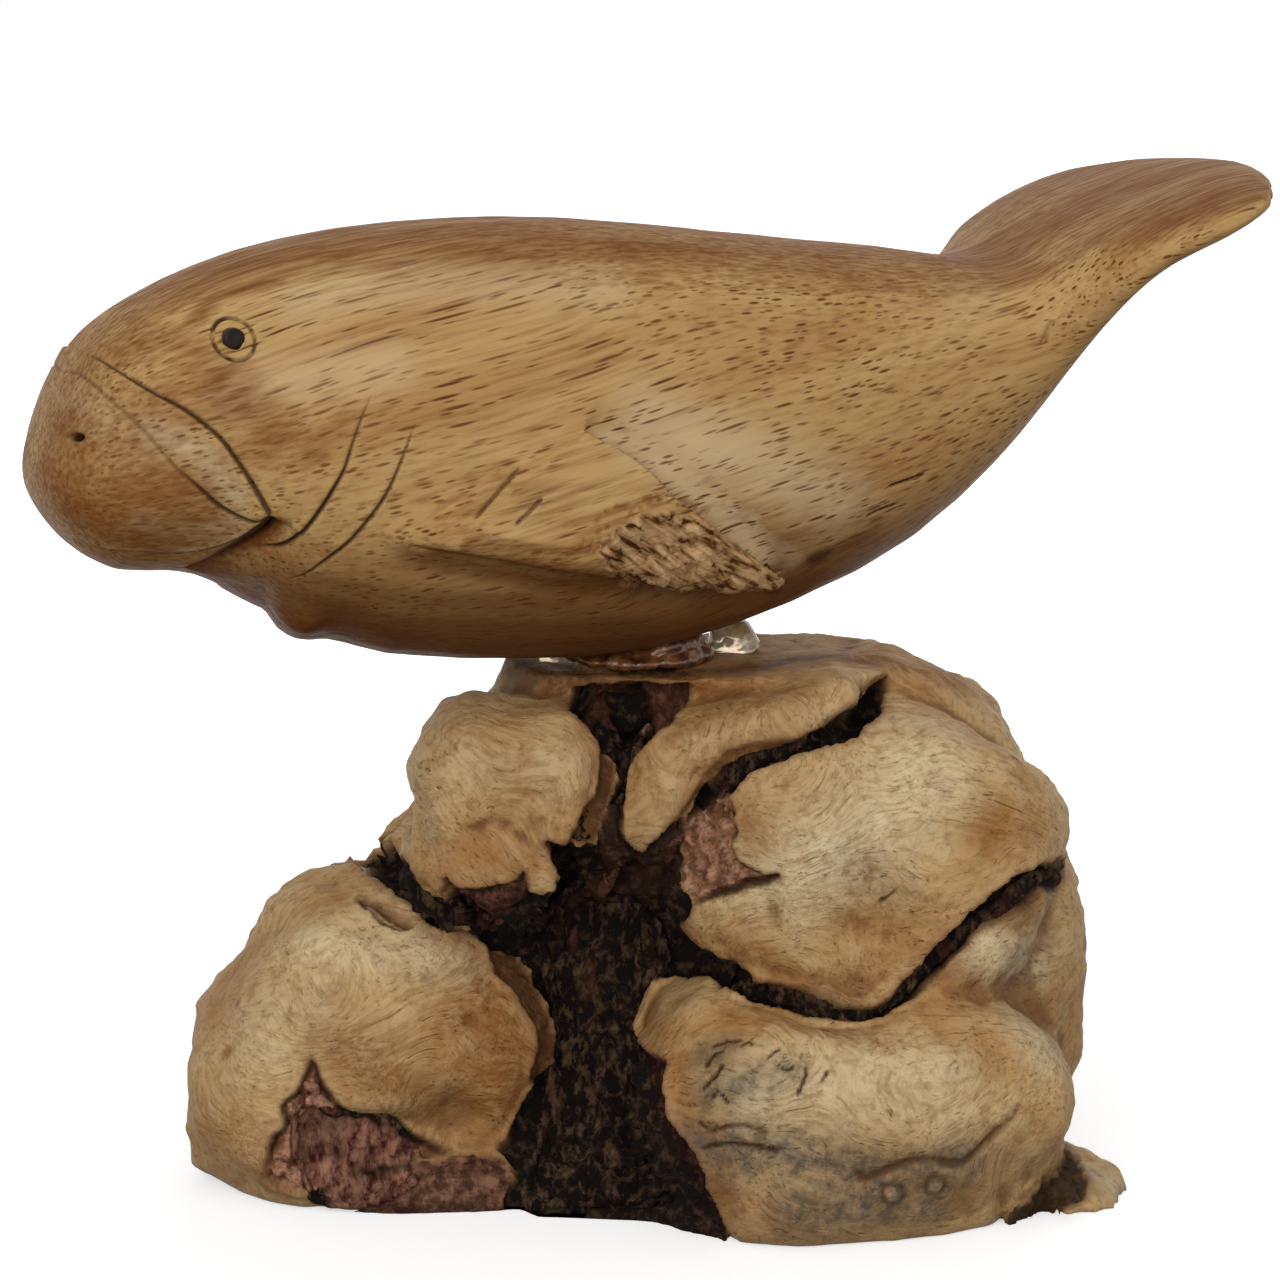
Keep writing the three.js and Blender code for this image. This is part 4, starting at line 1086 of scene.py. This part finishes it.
def zoneMasks(points, skin):
    # the bark zones of the front and the guessed ones of the back: masks of each kind, and the nearest edge
    behind = {"front": behindFirst(points, skin, eyePoint),
              "back": behindFirst(points, skin, points * [1, 0, 1] + [0, 300, 0])}
    pixels = {"front": toPixels(points), "back": points[:, [0, 2]] / photoView["pixelSize"]}
    scale = {"front": 1.0, "back": 1 / photoView["pixelSize"]}
    ragged = unevenness(points, root["ragged"])
    kinds = {kind: np.zeros(len(points)) for kind in ("sink", "dark", "red", "rim", "lip", "dip")}
    edge = np.full(len(points), -99.0)
    for zone in root["zones"].values():
        side = zone.get("side", "front")
        reached = softStep(-behind[side], -root["zoneReach"], -root["zoneReach"] + 4)
        outline = [(x * scale[side], y * scale[side]) for x, y in zone["outline"]]
        inside = insidePixels(pixels[side], outline)
        edge = np.where(reached > 0, np.maximum(edge, inside), edge)
        inside = inside + ragged
        mask, lip, dip = [softStep(inside, *edges) * reached for edges in root["zoneEdges"].values()]
        for kind in ("sink", "dark", "red", "rim"):
            kinds[kind] += (zone.get(kind, 0) - kinds[kind]) * mask
        kinds["lip"] = np.maximum(kinds["lip"], lip)
        kinds["dip"] = np.maximum(kinds["dip"], zone.get("dip", 0) * dip)
    return kinds, edge, behind["front"]


def spreadGround(points, share):
    # the bark of the valley spreads forwards on the ground, more towards the right knob
    across = softStep(toPixels(points)[:, 0], *bark["flareColumns"])
    low = 1 - softStep(points[:, 2], 0, bark["flareHeight"])
    moved = points.copy()
    moved[:, 1] -= bark["flare"] * share * across * low * (points[:, 1] < 0)
    inFront, behind = bark["trodden"]
    trodden = (share > 0.3) & (points[:, 2] < np.where(points[:, 1] > 0, behind, inFront))
    moved[:, 2] = np.where(trodden, 0.05, moved[:, 2])
    return moved


def shiftSole(points, moved):
    # the low foot in front keeps back to the line that it has in the photograph, and so does the sole
    foot = root["foot"]
    inFoot = softStep(-np.abs(points[:, 0] - foot["middle"]), -foot["half"] - 3, -foot["half"])
    inFoot *= softStep(-points[:, 2], -foot["height"] - 3, -foot["height"]) * (points[:, 1] < foot["line"])
    moved[:, 1] += (foot["line"] - moved[:, 1]) * foot["share"] * inFoot
    shift = np.interp(toPixels(points)[:, 0], *np.array(root["sole"], float).T)
    low = 1 - softStep(points[:, 2], 0, root["soleReach"]["height"])
    moved[:, 1] += shift * low * softStep(-points[:, 1], *root["soleReach"]["front"])


def stainMasks(points, skin, unseen):
    masks = {kind: strokeMask(points, skin, strokes) for kind, strokes in root["stains"].items()}
    for kind, share, size, seed in root["unseenStains"]:
        masks[kind] = np.maximum(masks[kind], share * unseen * softStep(lumps(points, size, seed), 0.0, 0.5))
    return masks


def dressRoot():
    piece = evenCopy("root_base", "burlRoot", root["voxel"], root["smoothing"], fillers=root["closed"])
    skin = skinOf(piece.data)
    cuts = list(root["lines"].values())
    cuts += [{"width": size, "depth": size, "pixels": pixels} for size, pixels in root["dashes"]]
    lines = [traced(skin, cut["pixels"]) for cut in cuts]
    points = readPoints(piece)
    near = np.abs(zoneMasks(points, skin)[1]) < root["refine"] / photoView["pixelSize"]
    for line in lines:
        near |= nearLine(points, points, line)[0] < root["refine"]
    refineNear(piece, near)
    points = readPoints(piece)
    normals = calmNormals(piece, root["calm"]["normals"])
    zones, _, behind = zoneMasks(points, skin)
    seen = spread(piece, 1.0 * (behind < 1.5), root["calm"]["seen"])
    unseen = 1 - seen
    facing = softStep(np.maximum(normals @ -viewIn, normals[:, 1]), -0.05, 0.2)
    push = root["lip"]["height"] * zones["lip"] - zones["sink"] * facing - zones["dip"]
    ink = np.zeros(len(points))
    for cut, line in zip(cuts, lines):
        pushed, inked = carve(points, normals, line, cut)
        push += pushed
        ink = np.maximum(ink, inked)
    for pixel, reach, height in root["touches"]:
        found = onSurface(skin, [pixel])
        if len(found):
            push += height * softStep(-np.linalg.norm(points - found[0], axis=1), -reach, 0)
    push += unevenness(points, root["lumps"]) * (1 + root["unseenLumps"] * unseen)
    # on the unseen sides, places that other walls hide are painted dark: dark bark, with painted shade
    blocked = hollowness(points, normals, skin, root["hollowReach"], seen < 0.95)
    blocked += 0.1 * lumps(points, 3.0, 9.0)
    dark, lip = [softStep(blocked, *share) * unseen for share in root["hollowFrom"].values()]
    # hollow: the dark bark of the zones, dark cracks, and painted shade in hollow places
    hollow = np.maximum.reduce([zones["dark"], ink, dark])
    rough = np.maximum(hollow, zones["red"])
    push += rough * unevenness(points, root["crumbs"])
    push *= softStep(points[:, 2], 0.3, 2.5)       # the sawn underside stays flat
    moved = points + normals * push[:, None]
    shiftSole(points, moved)
    writePoints(piece, spreadGround(moved, zones["dark"]))
    # dirt settles in the creases, darkened further with painted shade, and the tops are scraped paler
    evened = np.stack([spread(piece, axis, root["calm"]["crease"]) for axis in moved.T], axis=1)
    crease = np.einsum("ij,ij->i", evened - moved, normals) / root["crease"]["depth"]
    masks = stainMasks(points, skin, unseen)
    masks["hollow"] = hollow
    # the lip: painted shade at the edges by the bark, round hollow places and in creases
    masks["lip"] = np.maximum.reduce([
        root["lip"]["ink"] * zones["lip"] * (1 - zones["red"]), lip,
        root["crease"]["ink"] * softStep(crease, 0.1, 1)])
    masks["cream"] = masks["cream"] + root["crease"]["cream"] * softStep(-crease, 0.1, 1)
    masks["innerBark"] = np.maximum(masks["innerBark"], zones["red"])
    masks["rim"] = np.maximum(masks["rim"], zones["rim"])
    for kind, mask in masks.items():
        writeMask(piece, kind, mask)
    finishPiece(piece, rootBurl(), "burl_wood", "root_base")
    print("root dressed:", triangleCount(piece), "triangles")
    return skin


rootSkin = dressRoot()


def ingrownBark():
    # dead bark that the root grew round: crumbly, nearly black, with red-brown broken edges
    made, tree, space = newMaterial("ingrownBark")
    dry = addNode(tree, "Attribute", attribute_name="dry")
    upright = addNode(tree, "Mapping", {"Vector": space.outputs[0], "Scale": (1, 1, 0.5)})
    crumbs = addNode(tree, "TexNoise", {
        "Vector": upright.outputs[0], "Scale": 1 / 1.3, "Detail": 6.0, "Roughness": 0.68})
    flakes = addNode(tree, "TexNoise", {"Vector": upright.outputs[0], "Scale": 1 / 5, "Detail": 4.0})
    crumbMask, dryMask, flakeMask = [
        addNode(tree, "MapRange", {
            "Value": pattern.outputs[0], "From Min": start, "From Max": end, "To Max": last}).outputs[0]
        for pattern, start, end, last in (
            (crumbs, 0.48, 0.68, 1.0), (crumbs, 0.38, 0.62, 1.0), (flakes, 0.56, 0.72, 0.7))]
    dryColour = addNode(tree, "Mix", {
        0: dryMask, 6: linear("#4a1f17"), 7: linear("#a87860")}, data_type="RGBA")
    colour = linear("#0e0906")
    for mask, over in (
            (crumbMask, linear("#5c4630")),
            (flakeMask, linear("#54301f")),
            (dry.outputs["Fac"], dryColour.outputs[2])):
        colour = addNode(tree, "Mix", {0: mask, 6: colour, 7: over}, data_type="RGBA").outputs[2]
    bump = addNode(tree, "Bump", {"Strength": 0.8, "Distance": 0.5 * mm, "Height": crumbs.outputs[0]})
    return finishMaterial(made, tree, {
        "Base Color": colour, "Roughness": 0.92, "Normal": bump.outputs[0],
        "IOR": 1.4, "Specular IOR Level": 0.15})


def dressBark():
    material = ingrownBark()
    for name in barkNodes:
        piece = evenCopy(name, name.replace("bark_", "ingrownBark_"), bark["voxel"], bark["smoothing"])
        points = readPoints(piece)
        normals = calmNormals(piece, bark["calm"])
        outwards = np.sign(points[:, 1].mean())
        openFace = softStep(normals[:, 1] * outwards, -0.1, 0.6)
        red = zoneMasks(points, rootSkin)[0]["red"]
        push = bark["swell"] * (1 - openFace) - bark["sink"][name] * openFace
        push += openFace * unevenness(points * [1, 1, bark["stretch"]], bark["crumbs"])
        moved = points + normals * push[:, None]
        moved[:, 2] = np.maximum(moved[:, 2], 0.1)
        writePoints(piece, spreadGround(moved, openFace * (name == "bark_main")))
        writeMask(piece, "dry", red + 0.5 * lumps(points, 4.0, 8.0) - 0.2)
        finishPiece(piece, material, "ingrown_bark", name)
    print("bark dressed:", len(barkNodes), "strips")


dressBark()

# glue that was squeezed out round the dowel
glue = {
    "voxel": 0.32,
    "smoothing": 3,
    "collar": [(3.0, 0.7, 1.0), (1.2, 0.25, 2.0)],        # size, height, seed
    "drops": [(2.0, 0.35, 3.0)],
    "collarSwell": 0.45,
    "dropSwell": 0.3,
}


def squeezedGlue(name, thin, thick, roughness, transmission):
    # dried glue: glassy where it ran clean, brown where it took up dust and bark
    made, tree, space = newMaterial(name)
    cloud = addNode(tree, "TexNoise", {"Vector": space.outputs[0], "Scale": 1 / 2, "Detail": 4.0})
    mask = addNode(tree, "MapRange", {"Value": cloud.outputs[0], "From Min": 0.38, "From Max": 0.64})
    colour = addNode(tree, "Mix", {
        0: mask.outputs[0], 6: linear(thin), 7: linear(thick)}, data_type="RGBA")
    bump = addNode(tree, "Bump", {"Strength": 0.4, "Distance": 0.3 * mm, "Height": cloud.outputs[0]})
    return finishMaterial(made, tree, {
        "Base Color": colour.outputs[2], "Roughness": roughness, "Normal": bump.outputs[0],
        "Transmission Weight": transmission, "IOR": 1.5})


def dressGlue():
    brown = squeezedGlue("brownGlue", "#7a4a26", "#3a1f10", 0.28, 0.0)
    clear = squeezedGlue("clearGlue", "#efe4cd", "#b79a6b", 0.12, 0.55)
    for name, material, slot, crumbs, swell in (
            ("glue_collar", brown, "glue", glue["collar"], glue["collarSwell"]),
            ("glue_drop_tail_side", clear, "clear_glue", glue["drops"], glue["dropSwell"]),
            ("glue_drop_head_side", clear, "clear_glue", glue["drops"], glue["dropSwell"])):
        piece = evenCopy(name, name + "_run", glue["voxel"], glue["smoothing"])
        points = readPoints(piece)
        push = swell + unevenness(points, crumbs)
        writePoints(piece, points + readNormals(piece) * push[:, None])
        finishPiece(piece, material, slot, name)
    print("glue dressed")


dressGlue()


def dowelBeech():
    # beech dowel, turned: straight pale fibre along the pin
    made, tree, space = newMaterial("dowelBeech")
    along = addNode(tree, "Mapping", {"Vector": space.outputs[0], "Scale": (1 / 0.6, 1 / 0.6, 1 / 9)})
    fibre = addNode(tree, "TexNoise", {"Vector": along.outputs[0], "Scale": 1.0, "Detail": 3.0})
    colour = addNode(tree, "Mix", {
        0: fibre.outputs[0], 6: linear("#cda472"), 7: linear("#a97c4b")}, data_type="RGBA")
    bump = addNode(tree, "Bump", {"Strength": 0.3, "Distance": 0.1 * mm, "Height": fibre.outputs[0]})
    return finishMaterial(made, tree, {
        "Base Color": colour.outputs[2], "Roughness": 0.7, "Normal": bump.outputs[0], "IOR": 1.5})


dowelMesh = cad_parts["mounting_dowel"].data
dowelMesh.materials.clear()
dowelMesh.materials.append(dowelBeech())

# stage: a pale floor that runs to white, and soft light from the front
stage = {
    "floorSize": 4.0,          # metres
    "floorShade": 0.8,         # share of the light that the camera sees on it, so that the shadow stays
    "floorGlow": (0.55, 1.0),  # near the object, and from the far distance on
    "floorFade": (100, 450),   # mm
    "floorBounce": "#565350",  # what the object gets back from the floor
    "sky": 0.42,
    "lamps": {                 # place in metres, size and watts
        "key": ((-0.28, -1.05, 0.42), 0.8, 7.7),
        "fill": ((0.8, -0.7, 0.3), 0.6, 1.6),
        "rim": ((0.2, 1.0, 0.4), 0.8, 4.5),
    },
}


def backgroundRays(tree):
    # rays that should see plain white: the camera's, and those of gloss and glass
    rays = addNode(tree, "LightPath")
    first = addNode(tree, "Math", {
        0: rays.outputs["Is Camera Ray"], 1: rays.outputs["Is Transmission Ray"]}, operation="MAXIMUM")
    return addNode(tree, "Math", {
        0: first.outputs[0], 1: rays.outputs["Is Glossy Ray"]}, operation="MAXIMUM")


def paleFloor():
    # matt white card that glows to pure white far away, and gives the object a darker bounce
    made, tree, space = newMaterial("paleFloor")
    seen = backgroundRays(tree)
    bounce = addNode(tree, "BsdfDiffuse", {"Color": linear(stage["floorBounce"])})
    shade = addNode(tree, "BsdfDiffuse", {"Color": (stage["floorShade"],) * 3 + (1,)})
    away = addNode(tree, "VectorMath", {0: space.outputs[0]}, operation="LENGTH")
    rising = addNode(tree, "MapRange", {
        "Value": away.outputs["Value"], "From Min": stage["floorFade"][0], "From Max": stage["floorFade"][1],
        "To Min": stage["floorGlow"][0], "To Max": stage["floorGlow"][1]})
    glow = addNode(tree, "Emission", {"Color": (1, 1, 1, 1), "Strength": rising.outputs[0]})
    white = addNode(tree, "AddShader", {0: shade.outputs[0], 1: glow.outputs[0]})
    mixed = addNode(tree, "MixShader", {0: seen.outputs[0], 1: bounce.outputs[0], 2: white.outputs[0]})
    addNode(tree, "OutputMaterial", {"Surface": mixed.outputs[0]})
    return made


def setFloor():
    shape = bmesh.new()
    bmesh.ops.create_grid(shape, x_segments=1, y_segments=1, size=stage["floorSize"])
    mesh = bpy.data.meshes.new("floor")
    shape.to_mesh(mesh)
    shape.free()
    floor = newObject("floor", mesh)
    mesh.materials.append(paleFloor())


def setSky():
    world = bpy.data.worlds.new("studio")
    bpy.context.scene.world = world
    world.use_nodes = True
    tree = world.node_tree
    tree.nodes.clear()
    shown = backgroundRays(tree)
    level = addNode(tree, "MapRange", {"Value": shown.outputs[0], "To Min": stage["sky"], "To Max": 1.0})
    sky = addNode(tree, "Background", {"Color": (1, 1, 1, 1), "Strength": level.outputs[0]})
    addNode(tree, "OutputWorld", {"Surface": sky.outputs[0]})


def setLamps():
    for name, (place, size, power) in stage["lamps"].items():
        lamp = bpy.data.lights.new(name, "AREA")
        lamp.energy = power
        lamp.size = size
        lit = newObject(name, lamp)
        lit.visible_glossy = name != "rim"        # lights the back without a glare along the top
        lit.location = place
        lit.rotation_euler = (Vector(aimPoint) * mm - lit.location).to_track_quat("-Z", "Y").to_euler()


setFloor()
setSky()
setLamps()
print("stage set")
